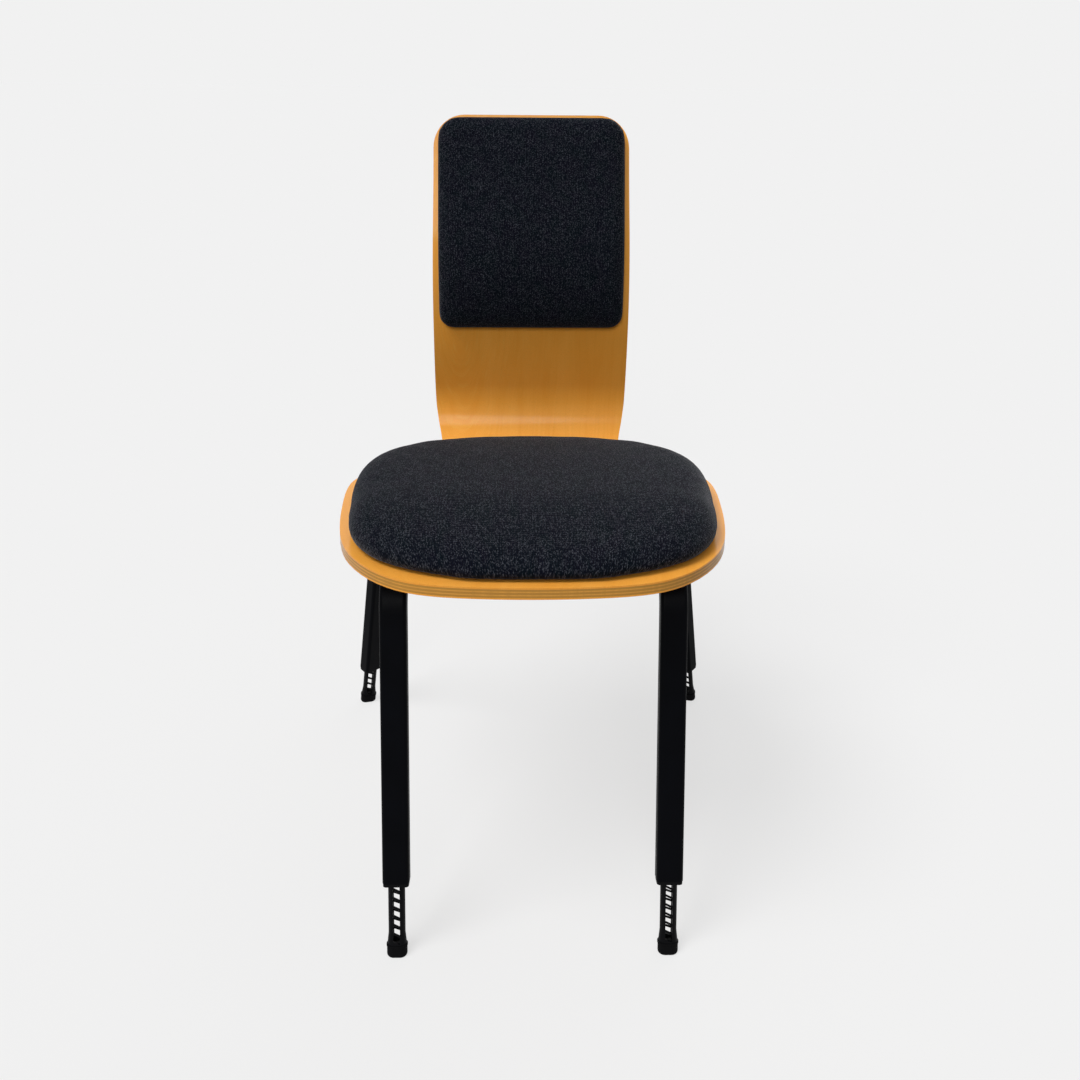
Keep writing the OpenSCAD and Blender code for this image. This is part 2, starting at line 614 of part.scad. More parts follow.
// A stem, from the floor up: peg, flare, notched shaft and head, hollow above the flare
module notch_cut(at, drop) rotate([90, 0, 0]) linear_extrude(stem_w) polygon([
    [-notch_w / 2, max(notch_floor, at + (drop - notch_pitch + notch_bar) / 2)],
    [notch_w / 2, max(notch_floor, at - (drop + notch_pitch - notch_bar) / 2)],
    [notch_w / 2, at + (notch_pitch - notch_bar - drop) / 2],
    [-notch_w / 2, at + (notch_pitch - notch_bar + drop) / 2]
]);
module stem() color(plastic_color) difference() {
    union() {
        translate([0, 0, foot_l - peg_l]) linear_extrude(peg_l + stem_flare_l)
            oval(stem_w - 2 * peg_lip, stem_d - 2 * peg_lip);
        oval_turned(stem_w - stem_d) polygon([
            [0, foot_l], [stem_d / 2 + stem_flare_lip, foot_l],
            [stem_d / 2, foot_l + stem_flare_l], [0, foot_l + stem_flare_l]
        ]);
        translate([0, 0, foot_l + stem_flare_l]) linear_extrude(stem_head_at - foot_l - stem_flare_l)
            oval(stem_w, stem_d);
        translate([0, 0, stem_head_at]) linear_extrude(stem_head_l) oval(stem_w + 2 * stem_head_lip, stem_d);
    }
    translate([-stem_bore_w / 2, stem_wall - stem_d / 2, notch_floor])
        cube([stem_bore_w, stem_d - 2 * stem_wall, reach]);
    for (k = [0 : notch_count - 1]) {
        notch_cut(first_notch_at + k * notch_pitch, front_bar_drop);
        translate([0, stem_w, 0]) notch_cut(first_notch_at + k * notch_pitch + rear_bar_lift, rear_bar_drop);
    }
}
module stem_front(side) in_place() on_front_leg(side) stem();
module stem_rear(side) in_place() on_rear_leg(side) rotate(-side * rear_stem_turn) stem();
module stem_front_left() stem_front(-1);
module stem_front_right() stem_front(1);
module stem_rear_left() stem_rear(-1);
module stem_rear_right() stem_rear(1);

// The rubber foot, cut flat by the floor
foot_edge_points = [for (i = [0 : corner_steps]) let (a = i / corner_steps * 90)
    [foot_d / 2 - foot_edge_r * (1 - sin(a)), -foot_sink + foot_edge_r * (1 - cos(a))]];
module foot() color(rubber_color) difference() {
    oval_turned(foot_w - foot_d) polygon(concat([[0, -foot_sink]], foot_edge_points, [
        [foot_d / 2, foot_l - foot_bead_l], [foot_d / 2 + foot_bead, foot_l - foot_bead_l],
        [foot_d / 2 + foot_bead, foot_l], [0, foot_l]
    ]));
    translate([0, 0, foot_l - peg_l - tight_gap]) linear_extrude(reach)
        oval(stem_w - 2 * peg_lip + 2 * tight_gap, stem_d - 2 * peg_lip + 2 * tight_gap);
}
module above_floor() translate([-reach, -reach, 0]) cube([2 * reach, 3 * reach, reach]);
module foot_front(side) in_place() intersection() {
    on_front_leg(side) foot();
    above_floor();
}
module foot_rear(side) in_place() intersection() {
    on_rear_leg(side) rotate(-side * rear_stem_turn) foot();
    above_floor();
}
module foot_front_left() foot_front(-1);
module foot_front_right() foot_front(1);
module foot_rear_left() foot_rear(-1);
module foot_rear_right() foot_rear(1);

shell();
seat_pad();
seat_pad_board();
seat_pad_screws();
back_pad();
back_pad_board();
back_pad_screws();
front_leg_left();
front_leg_right();
rear_leg_left();
rear_leg_right();
front_cross_tube();
rear_cross_tube();
seat_spacers();
seat_screws();
seat_nuts();
guide_front_left();
guide_front_right();
guide_rear_left();
guide_rear_right();
stem_front_left();
stem_front_right();
stem_rear_left();
stem_rear_right();
foot_front_left();
foot_front_right();
foot_rear_left();
foot_rear_right();
catch_front_left();
catch_front_right();
catch_rear_left();
catch_rear_right();
guide_rivets();
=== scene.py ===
# Choir chair: the looks of a moulded beech plywood chair with two wool pads on a black steel frame.
# Everything is in metres: +Z up, +Y towards the back, the origin on the floor under the chair.
import math

import bmesh
import bpy
from mathutils import Matrix, Vector


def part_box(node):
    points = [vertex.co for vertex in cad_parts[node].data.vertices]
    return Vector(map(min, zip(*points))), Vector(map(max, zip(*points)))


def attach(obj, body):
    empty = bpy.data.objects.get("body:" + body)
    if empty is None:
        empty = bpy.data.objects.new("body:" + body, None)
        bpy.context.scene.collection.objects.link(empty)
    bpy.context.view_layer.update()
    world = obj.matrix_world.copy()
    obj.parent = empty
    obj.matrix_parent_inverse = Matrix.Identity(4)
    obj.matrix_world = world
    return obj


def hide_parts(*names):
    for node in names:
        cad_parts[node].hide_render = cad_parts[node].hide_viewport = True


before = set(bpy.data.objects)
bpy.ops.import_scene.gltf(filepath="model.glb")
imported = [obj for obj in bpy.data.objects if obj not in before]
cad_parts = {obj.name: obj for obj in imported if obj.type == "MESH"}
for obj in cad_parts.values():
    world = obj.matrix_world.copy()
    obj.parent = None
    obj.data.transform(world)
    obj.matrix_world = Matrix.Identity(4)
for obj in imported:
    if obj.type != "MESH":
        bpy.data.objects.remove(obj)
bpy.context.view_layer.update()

bl_info = {
    "name": "Choir chair",
    "version": (1, 0, 0),
    "blender": (4, 5, 0),
    "location": "View3D > Sidebar > Chair",
    "description": "Builds a choir chair's shell, pads, screws, finishes and studio round its CAD frame",
    "category": "Add Mesh",
}

MM = 0.001
PLIES = 7
RING_SHIFT, RING_SLANT = (0.097, -0.151, 0), 0.227  # where the veneer's rings centre, and how drawn out
ONE_WAVE = 0.314  # the wave texture's scale for one band a metre
TINY = 0.01 * MM
HALVINGS = 40
CURVE_STEPS, PAD_CURVE_STEPS, CORNER_STEPS, SIDE_STEPS = 3, 5, 12, 16
ROUND_SIDES, DRILL_LENGTH = 32, 100 * MM
WOOD_CREASE, CLOTH_CREASE, METAL_CREASE = 28, 60, 35  # degrees from which an edge looks sharp
SOFT_GAP = 0.3 * MM
FRAME_BODY = "frame"
CORNERS = ("front_left", "front_right", "rear_left", "rear_right")

# Outlines as shares of half a width and of a length; the first and last points only steer the curve
SEAT_SHARES = (
    (-0.256, 0.0056), (0, 0), (0.256, 0.0056), (0.456, 0.021), (0.601, 0.0525), (0.737, 0.116),
    (0.848, 0.2065), (0.914, 0.304), (0.957, 0.429), (0.984, 0.560), (0.999, 0.683), (0.985, 0.775),
    (0.918, 0.848), (0.818, 0.897), (0.707, 0.931), (0.605, 0.9575), (0.541, 0.9775), (0.512, 1),
    (0.512, 1.04),
)
BACK_SHARES = (
    (0.87, -0.02), (0.907, 0), (0.930, 0.016), (0.942, 0.031), (0.966, 0.061), (0.983, 0.092),
    (0.996, 0.128), (1, 0.196), (0.993, 0.354), (0.987, 0.556), (0.977, 0.782), (0.975, 0.900),
    (0.975, 1),
)
SEAT_PAD_SHARES = (
    (-0.290, 0.005), (0, 0), (0.290, 0.005), (0.426, 0.023), (0.603, 0.058), (0.771, 0.116),
    (0.889, 0.200), (0.947, 0.294), (0.975, 0.419), (1, 0.553), (0.998, 0.681), (0.956, 0.773),
    (0.872, 0.848), (0.741, 0.912), (0.565, 0.962), (0.315, 0.992), (0, 1), (-0.315, 0.992),
)

# A pad's section at its edge: how far in, as a share of the roll, and how high, as one of the thickness
PAD_EDGE_SHARES = (
    (0.34, 0), (0.12, 0.13), (0, 0.30), (0.05, 0.48), (0.22, 0.65), (0.52, 0.785), (1, 0.88),
)
PAD_RIM = PAD_EDGE_SHARES[-1][1]
PAD_BASE_SHARES = (0, 0.3, 0.6, 0.85)  # size of each ring under the pad, as a share of its base's outline
# Its crown: size of each ring, as a share of the outline, and height, as one of the thickness
PAD_CROWN_SHARES = ((0.84, 0.93), (0.62, 0.969), (0.34, 0.992), (0, 1))
UNSWOLLEN = 0.3  # share of its crown that a cushion has before the cloth swells
SEAT_PAD_THINNING, BACK_PAD_THINNING = 0.40, 0.30  # share of its height that a pad loses at its front
SEAT_WEAVE_SHARE, BACK_WEAVE_SHARE = 0.42, 1.0  # below 1 the weave is drawn out lengthwise
FOAM_CELL = 5 * MM
POCKET_STRIP = 6 * MM  # the board's pocket is cut in strips, so that it bends with the shell
POCKET_ROOM = 0.6 * MM
POCKET_OVERRUN = 5 * MM
SWELL_FRAMES = 20
SWELL_PRESSURE = 4.0
CLOTH_STIFFNESS, CLOTH_BENDING = 18.0, 1.2
SWELL_FROM, SWELL_OVER = 0.35, 0.6  # where up the rim the swell starts, and how soon it is full
HELD_BELOW = 3 * MM  # the cushion's underside, which the cloth simulation doesn't move

# Screws: places across and along the shell, and the radius of their holes
SEAT_SCREW_X, SEAT_SCREW_S = 153 * MM, (150 * MM, 352 * MM)
SEAT_PAD_SCREW_X, SEAT_PAD_SCREW_S = 105 * MM, (105 * MM, 290 * MM)
BACK_PAD_SCREW_X, BACK_PAD_SCREW_SHARES = 75 * MM, (0.2, 0.82)
SEAT_NUT_HOLE, PAD_SCREW_HOLE = 4.05 * MM, 2.25 * MM
SCREW_GAP = 0.05 * MM
# Head radius, head height, shank radius, height of the tip and sides of the recess
PAD_SCREW = (4 * MM, 2.2 * MM, 2 * MM, 5.3 * MM, 4)
SEAT_SCREW = (6 * MM, 3.2 * MM, 3 * MM, -3 * MM, 6)
SEAT_SCREW_HEAD_AT = -38.5 * MM
# Shares of a screw's head: its dome and its recess's depth of the height, the recess's sizes of the radius
DOME_SHARE, RECESS_DEPTH_SHARE = 0.62, 0.55
CROSS_LENGTH_SHARE, CROSS_WIDTH_SHARE, HEXAGON_SHARE = 1.1, 0.24, 0.42

# How finely the flat sheet is cut across: where it stays straight, in the bend and in the lumbar curve
STRAIGHT_STEP, BEND_STEP, LUMBAR_STEP = 22 * MM, 3.2 * MM, 6 * MM

# The studio: each lamp's share of the light on the floor, its softness in degrees and where it stands
AMBIENT = 0.07
LAMPS = (
    ("key_light", 0.53, 30, (-0.44, -0.26, 0.85)),
    ("top_light", 0.20, 90, (0.15, 0.0, 1.0)),
    ("window_light", 0.13, 22, (-0.15, -1.0, 0.57)),
    ("rear_light", 0.07, 60, (0.35, 1.0, 0.70)),
)
FLOOR_GLOW = 0.72  # share of the floor's paleness that the eye sees whatever falls on it
FLOOR_BOUNCE = 0.35  # share of its colour in the light that it sends back up
FLOOR_SIZE = 60

# The photograph's camera: lens and picture in pixels, turns in degrees, place from the seat's front edge
FRAME_PX, FOCAL_PX, CENTRE_ROW_PX, CENTRE_COLUMN_PX = 1080.0, 1068.2, 411.0, 541.2
CAMERA_PITCH, CAMERA_YAW, CAMERA_ROLL = 18.63, 1.358, -0.505
CAMERA_X, CAMERA_IN_FRONT, CAMERA_HEIGHT = -0.0185, 0.9496, 0.9672


def metres(name, description, default):
    """A size in metres."""
    return bpy.props.FloatProperty(name=name, description=description, default=default, unit="LENGTH")


def degrees(name, description, default):
    """An angle, its default in degrees."""
    return bpy.props.FloatProperty(
        name=name, description=description, default=math.radians(default), subtype="ANGLE")


def linear_colour(name, description, default):
    """A scene linear colour."""
    return bpy.props.FloatVectorProperty(
        name=name, description=description, default=default, subtype="COLOR")


class ChairSizes(bpy.types.PropertyGroup):
    """Sizes that the visible pieces are built from"""

    seat_height: metres("Seat height", "Height of the seat's front edge", 0.461)
    seat_tilt: degrees("Seat tilt", "Slope of the seat, down to the back", 4.4)
    seat_width: metres("Seat width", "Largest width of the seat", 0.4694)
    seat_plan: metres("Seat plan", "Length of the seat's outline up to the neck", 0.448)
    seat_flat: metres("Seat flat", "Length of the flat seat, up to the bend", 0.401)
    ply: metres("Plywood", "Thickness of the plywood", 0.0125)
    ply_edge: metres("Edge rounding", "Rounding of the plywood's edges", 0.0014)
    bend_radius: metres("Bend radius", "Radius of the bend behind the seat", 0.075)
    bend_angle: degrees("Bend angle", "Angle of that bend", 110.4)
    rise: metres("Rise", "Straight stretch above the bend", 0.045)
    lumbar_radius: metres("Lumbar radius", "Radius of the lumbar curve", 0.320)
    lumbar_angle: degrees("Lumbar angle", "Angle of the lumbar curve", 34)
    back_top: metres("Upper back", "Length of the straight upper back", 0.1375)
    back_width: metres("Back width", "Largest width of the back", 0.265)
    back_corner: metres("Top corners", "Radius of the back's top corners", 0.041)
    seat_pad_width: metres("Seat pad width", "Width of the seat pad", 0.435)
    seat_pad_length: metres("Seat pad length", "Length of the seat pad", 0.441)
    seat_pad_margin: metres("Seat margin", "Bare wood in front of the seat pad", 0.011)
    seat_pad_height: metres("Seat pad crown", "Thickness of the seat pad", 0.0444)
    seat_pad_roll: metres("Seat pad roll", "Width of the seat pad's rolled edge", 0.024)
    back_pad_width: metres("Back pad width", "Width of the back pad", 0.245)
    back_pad_length: metres("Back pad length", "Length of the back pad", 0.274)
    back_pad_margin: metres("Back margin", "Bare wood above the back pad", 0.006)
    back_pad_height: metres("Back pad crown", "Thickness of the back pad", 0.027)
    back_pad_roll: metres("Back pad roll", "Width of the back pad's rolled edge", 0.016)
    back_pad_low_corner: metres("Back pad low corners", "Radius of its lower corners", 0.020)
    back_pad_high_corner: metres("Back pad high corners", "Radius of its upper corners", 0.029)
    board: metres("Board", "Thickness of the board in each pad", 0.006)
    seat_pad_fall: metres("Seat pad fall", "Length over which the seat pad's front rolls down", 0.170)
    back_pad_fall: metres("Back pad fall", "Length over which the back pad thins to its lower edge", 0.095)
    board_inset: metres("Board inset", "From a pad's edge to its board", 0.012)
    thread: metres("Thread", "Distance between the cloth's threads", 0.0015)


class ChairColours(bpy.types.PropertyGroup):
    """Colours of the finishes, scene linear"""

    beech: linear_colour("Beech", "Lacquered beech veneer", (1.0, 0.440, 0.070))
    beech_dark: linear_colour("Beech grain", "The veneer's darker grain", (0.93, 0.370, 0.044))
    cross_ply: linear_colour("Cross plies", "End grain in the plywood's edge", (0.60, 0.285, 0.050))
    board: linear_colour("Board", "Raw board inside the pads", (0.55, 0.38, 0.19))
    cloth: linear_colour("Cloth", "Dark threads of the cloth", (0.0052, 0.0070, 0.0120))
    cloth_fleck: linear_colour("Cloth fleck", "Pale fibres of the cloth", (0.094, 0.100, 0.121))
    coat: linear_colour("Powder coat", "The steel's black coat", (0.0012, 0.0014, 0.0022))
    plastic: linear_colour("Plastic", "Moulded black plastic", (0.0020, 0.0020, 0.0026))
    rubber: linear_colour("Rubber", "The feet's rubber", (0.0024, 0.0024, 0.0028))
    zinc: linear_colour("Zinc", "Plated screws and nuts", (0.62, 0.64, 0.66))
    spring: linear_colour("Spring steel", "The catches", (0.42, 0.43, 0.45))
    floor: linear_colour("Floor", "Floor and surroundings", (0.88, 0.88, 0.88))


# The shell's curve

class ShellPath:
    """The shell seen from the side: s runs along the sitter's face, from the front edge to the top."""

    def __init__(self, sizes):
        self.sizes = sizes
        self.stretches = []
        s, y, z, heading = 0.0, front_edge(), sizes.seat_height, -sizes.seat_tilt
        for length, radius in (
            (sizes.seat_flat, 0.0),
            (sizes.bend_radius * sizes.bend_angle, sizes.bend_radius),
            (sizes.rise, 0.0),
            (sizes.lumbar_radius * sizes.lumbar_angle, -sizes.lumbar_radius),
            (sizes.back_top, 0.0),
        ):
            self.stretches.append((s, y, z, heading, radius, length))
            y, z, heading = self.along(y, z, heading, radius, length)
            s += length
        self.length = s

    @staticmethod
    def along(y, z, heading, radius, length):
        """Place and heading after a length of straight or curved path."""
        if radius == 0.0:
            return y + length * math.cos(heading), z + length * math.sin(heading), heading
        turned = heading + length / radius
        return (y + radius * (math.sin(turned) - math.sin(heading)),
                z + radius * (math.cos(heading) - math.cos(turned)), turned)

    def at(self, s):
        """Place (y, z) and heading at s."""
        start = self.stretches[0]
        for stretch in self.stretches:
            if s >= stretch[0]:
                start = stretch
        return self.along(*start[1:5], s - start[0])

    def over(self, x, s, h):
        """The point x across, s along the path and h out from the wood."""
        y, z, heading = self.at(s)
        return Vector((x, y - h * math.sin(heading), z + h * math.cos(heading)))

    def frame(self, x, s, h):
        """A matrix that stands there, Z away from the wood and Y along the path."""
        heading = self.at(s)[2]
        return Matrix.Translation(self.over(x, s, h)) @ Matrix.Rotation(heading, 4, "X")

    def s_at_height(self, height):
        """Where the path behind the seat's flat passes a height."""
        low, high = self.sizes.seat_flat, self.length
        for _ in range(HALVINGS):
            middle = (low + high) / 2
            if self.at(middle)[1] < height:
                low = middle
            else:
                high = middle
        return (low + high) / 2

    def s_at_plan(self, y):
        """Where the path is y along the seat's plane."""
        beyond = y - self.sizes.seat_flat
        if beyond <= 0:
            return y
        return self.sizes.seat_flat + self.sizes.bend_radius * math.asin(beyond / self.sizes.bend_radius)


def front_edge():
    """Y of the seat's front edge, which is the frontmost wood."""
    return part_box("shell")[0].y


# Outlines, x across and s along the path

def smooth_run(points, steps=CURVE_STEPS):
    """A curve through all but the first and last of the points."""
    run = []
    for i in range(1, len(points) - 2):
        a, b, c, d = (Vector(p) for p in points[i - 1:i + 3])
        for k in range(steps):
            t = k / steps
            run.append(0.5 * (2 * b + (c - a) * t + (2 * a - 5 * b + 4 * c - d) * t * t
                              + (3 * (b - c) + d - a) * t * t * t))
    run.append(Vector(points[-2]))
    return run


def mirrored_round(half):
    """A closed outline from its right half, which starts on the middle line."""
    left = [Vector((-p.x, p.y)) for p in reversed(half) if p.x > TINY]
    return half + left


def shell_outline(sizes, path):
    """The shell's whole outline, flat."""
    seat = smooth_run([(x * sizes.seat_width / 2, y * sizes.seat_plan) for x, y in SEAT_SHARES])
    half = [Vector((p.x, path.s_at_plan(p.y))) for p in seat]
    neck_z = path.at(half[-1].y)[1]
    rise = path.at(path.length)[1] - neck_z
    back = smooth_run([(x * sizes.back_width / 2, z * rise) for x, z in BACK_SHARES])
    half += [Vector((p.x, path.s_at_height(neck_z + p.y))) for p in back
             if 0 < p.y < rise - sizes.back_corner]
    r, side = sizes.back_corner, back[-1].x
    for i in range(CORNER_STEPS + 1):
        a = math.radians(90 * i / CORNER_STEPS)
        z = neck_z + rise - r * (1 - math.sin(a))
        half.append(Vector((side - r * (1 - math.cos(a)), min(path.s_at_height(z), path.length))))
    return mirrored_round(half)


def seat_pad_outline(sizes):
    """The seat pad's outline, flat."""
    half = smooth_run([(x * sizes.seat_pad_width / 2, y * sizes.seat_pad_length)
                       for x, y in SEAT_PAD_SHARES], PAD_CURVE_STEPS)
    return [p + Vector((0, sizes.seat_pad_margin)) for p in mirrored_round(half)]


def back_pad_outline(sizes, path):
    """The back pad's outline, flat: a rectangle with rounded corners."""
    side, length = sizes.back_pad_width / 2, sizes.back_pad_length
    start = path.length - sizes.back_pad_margin - length
    half = [Vector((0, 0))]
    corners = ((sizes.back_pad_low_corner, -90), (sizes.back_pad_high_corner, 0))
    for (r, turn), y in zip(corners, (sizes.back_pad_low_corner, length - sizes.back_pad_high_corner)):
        for i in range(CORNER_STEPS + 1):
            a = math.radians(turn + 90 * i / CORNER_STEPS)
            half.append(Vector((side - r + r * math.cos(a), y + r * math.sin(a))))
        if turn < 0:
            straight = length - sizes.back_pad_low_corner - sizes.back_pad_high_corner
            half += [Vector((side, y + straight * k / SIDE_STEPS)) for k in range(1, SIDE_STEPS)]
    half.append(Vector((0, length)))
    return [p + Vector((0, start)) for p in mirrored_round(half)]


def inset(outline, distance):
    """The outline moved in by a distance."""
    moved = []
    for i, p in enumerate(outline):
        along = outline[(i + 1) % len(outline)] - outline[i - 1]
        moved.append(p - Vector((along.y, -along.x)).normalized() * distance)
    return moved


# Modelling helpers

def deselect_all():
    """Leave edit mode with nothing selected."""
    if bpy.context.object and bpy.context.object.mode != "OBJECT":
        bpy.ops.object.mode_set(mode="OBJECT")
    bpy.ops.object.select_all(action="DESELECT")


def name_active(name):
    """Give the active object and its mesh a name."""
    piece = bpy.context.object
    piece.name = name
    piece.data.name = name
    return piece


def activate(piece):
    """Make one object the only selected and active one."""
    deselect_all()
    piece.select_set(True)
    bpy.context.view_layer.objects.active = piece


def apply_modifier(piece, kind, **settings):
    """Add a modifier, set it and apply it."""
    activate(piece)
    modifier = piece.modifiers.new(kind.title(), kind)
    for key, value in settings.items():
        setattr(modifier, key, value)
    bpy.ops.object.modifier_apply(modifier=modifier.name)


def flat_slab(name, outline, low, high):
    """A slab with that outline, between two heights."""
    deselect_all()
    bpy.ops.mesh.primitive_circle_add(vertices=len(outline), radius=1, fill_type="NGON")
    piece = name_active(name)
    for vertex, p in zip(piece.data.vertices, outline):
        vertex.co = (p.x, p.y, low)
    bpy.ops.object.mode_set(mode="EDIT")
    bpy.ops.mesh.select_all(action="SELECT")
    bpy.ops.mesh.extrude_region_move(TRANSFORM_OT_translate={"value": (0, 0, high - low)})
    bpy.ops.mesh.select_all(action="SELECT")
    bpy.ops.mesh.normals_make_consistent(inside=False)
    bpy.ops.object.mode_set(mode="OBJECT")
    return piece


def select_at(piece, kind, *heights):
    """In edit mode, select only the edges or the faces that lie flat at those heights."""
    bpy.ops.mesh.select_all(action="DESELECT")
    mesh = bmesh.from_edit_mesh(piece.data)
    for part in getattr(mesh, kind):
        part.select = any(all(abs(v.co.z - height) < TINY for v in part.verts) for height in heights)
    bmesh.update_edit_mesh(piece.data)


def bisect_along(piece, axis, places):
    """Cut a mesh right through at each place along an axis, 0 for X and 1 for Y."""
    activate(piece)
    bpy.ops.object.mode_set(mode="EDIT")
    for place in places:
        bpy.ops.mesh.select_all(action="SELECT")
        co, no = [0, 0, 0], [0, 0, 0]
        co[axis], no[axis] = place, 1
        bpy.ops.mesh.bisect(plane_co=co, plane_no=no)
    bpy.ops.object.mode_set(mode="OBJECT")


def drill(piece, holes):
    """Cut round holes through a flat slab, each given as x, y and radius."""
    deselect_all()
    cutters = []
    for x, y, radius in holes:
        bpy.ops.mesh.primitive_cylinder_add(
            vertices=ROUND_SIDES, radius=radius, depth=DRILL_LENGTH, location=(x, y, 0))
        cutters.append(bpy.context.object)
    for cutter in cutters:
        cutter.select_set(True)
    bpy.ops.object.join()
    cutter = bpy.context.object
    apply_modifier(piece, "BOOLEAN", object=cutter, operation="DIFFERENCE", solver="EXACT")
    bpy.data.objects.remove(cutter)


def store_places(piece, name, places):
    """Keep a place for each vertex as an attribute, for the materials to read."""
    attribute = piece.data.attributes.new(name, "FLOAT_VECTOR", "POINT")
    for item, place in zip(attribute.data, places):
        item.vector = place


def press_to_shape(piece, path):
    """Bend a flat mesh over the shell's path, keeping its flat places as an attribute."""
    store_places(piece, "flat", [v.co.copy() for v in piece.data.vertices])
    for vertex in piece.data.vertices:
        vertex.co = path.over(*vertex.co)
    activate(piece)
    bpy.ops.object.mode_set(mode="EDIT")
    bpy.ops.mesh.select_all(action="SELECT")
    bpy.ops.mesh.normals_make_consistent(inside=False)
    bpy.ops.object.mode_set(mode="OBJECT")


def finish_piece(piece, material, slot, body, *nodes):
    """Give a piece its material and body, and let it stand for its CAD nodes; the slot argument is not used.
    """
    piece.data.materials.clear()
    piece.data.materials.append(material)
    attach(piece, body)
    if nodes:
        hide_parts(*nodes)


# Materials

class Finish:
    """A material in the making: nodes are added and linked by name."""

    def __init__(self, name, **shader):
        self.material = bpy.data.materials.new(name)
        self.material.use_nodes = True
        self.tree = self.material.node_tree
        self.shader = self.tree.nodes["Principled BSDF"]
        for key, value in shader.items():
            self.shader.inputs[key.replace("_", " ")].default_value = value

    def add(self, kind, inputs=None, **settings):
        """A new node. Each of its inputs takes a plain value or another node's output."""
        node = self.tree.nodes.new("ShaderNode" + kind)
        for key, value in settings.items():
            setattr(node, key, value)
        for key, value in (inputs or {}).items():
            if isinstance(value, bpy.types.NodeSocket):
                self.tree.links.new(value, node.inputs[key])
            else:
                node.inputs[key].default_value = value
        return node

    def place(self, attribute, scale):
        """Coordinates from an attribute, or Object ones, with a scale for each axis."""
        if attribute:
            source = self.add("Attribute", attribute_name=attribute).outputs["Vector"]
        else:
            source = self.add("TexCoord").outputs["Object"]
        return self.add("Mapping", {"Vector": source, "Scale": scale}).outputs["Vector"]

    def noise(self, vector, scale, detail=4.0, roughness=0.5, distortion=0.0):
        return self.add("TexNoise", {"Vector": vector, "Scale": scale, "Detail": detail,
                                     "Roughness": roughness, "Distortion": distortion}).outputs["Fac"]

    def ramp(self, value, low, high, to_low=0.0, to_high=1.0):
        """The value spread from one range to another, clamped."""
        return self.add("MapRange", {"Value": value, "From Min": low, "From Max": high,
                                     "To Min": to_low, "To Max": to_high}).outputs["Result"]

    def maths(self, operation, a, b=0.0):
        return self.add("Math", {0: a, 1: b}, operation=operation).outputs[0]

    def mix(self, factor, a, b):
        """Two colours mixed."""
        def four(value):
            return value if isinstance(value, bpy.types.NodeSocket) else (*value, 1.0)
        node = self.add("Mix", data_type="RGBA")
        for socket, value in (("Factor_Float", factor), ("A_Color", four(a)), ("B_Color", four(b))):
            found = next(s for s in node.inputs if s.identifier == socket)
            if isinstance(value, bpy.types.NodeSocket):
                self.tree.links.new(value, found)
            else:
                found.default_value = value
        return next(s for s in node.outputs if s.identifier == "Result_Color")

    def bump(self, height, distance, strength=1.0, after=None):
        inputs = {"Height": height, "Distance": distance, "Strength": strength}
        if after is not None:
            inputs["Normal"] = after
        return self.add("Bump", inputs).outputs["Normal"]

    def connect(self, **sockets):
        """Link outputs to the shader's sockets, and give back the finished material."""
        for key, value in sockets.items():
            self.tree.links.new(value, self.shader.inputs[key.replace("_", " ")])
        return self.material


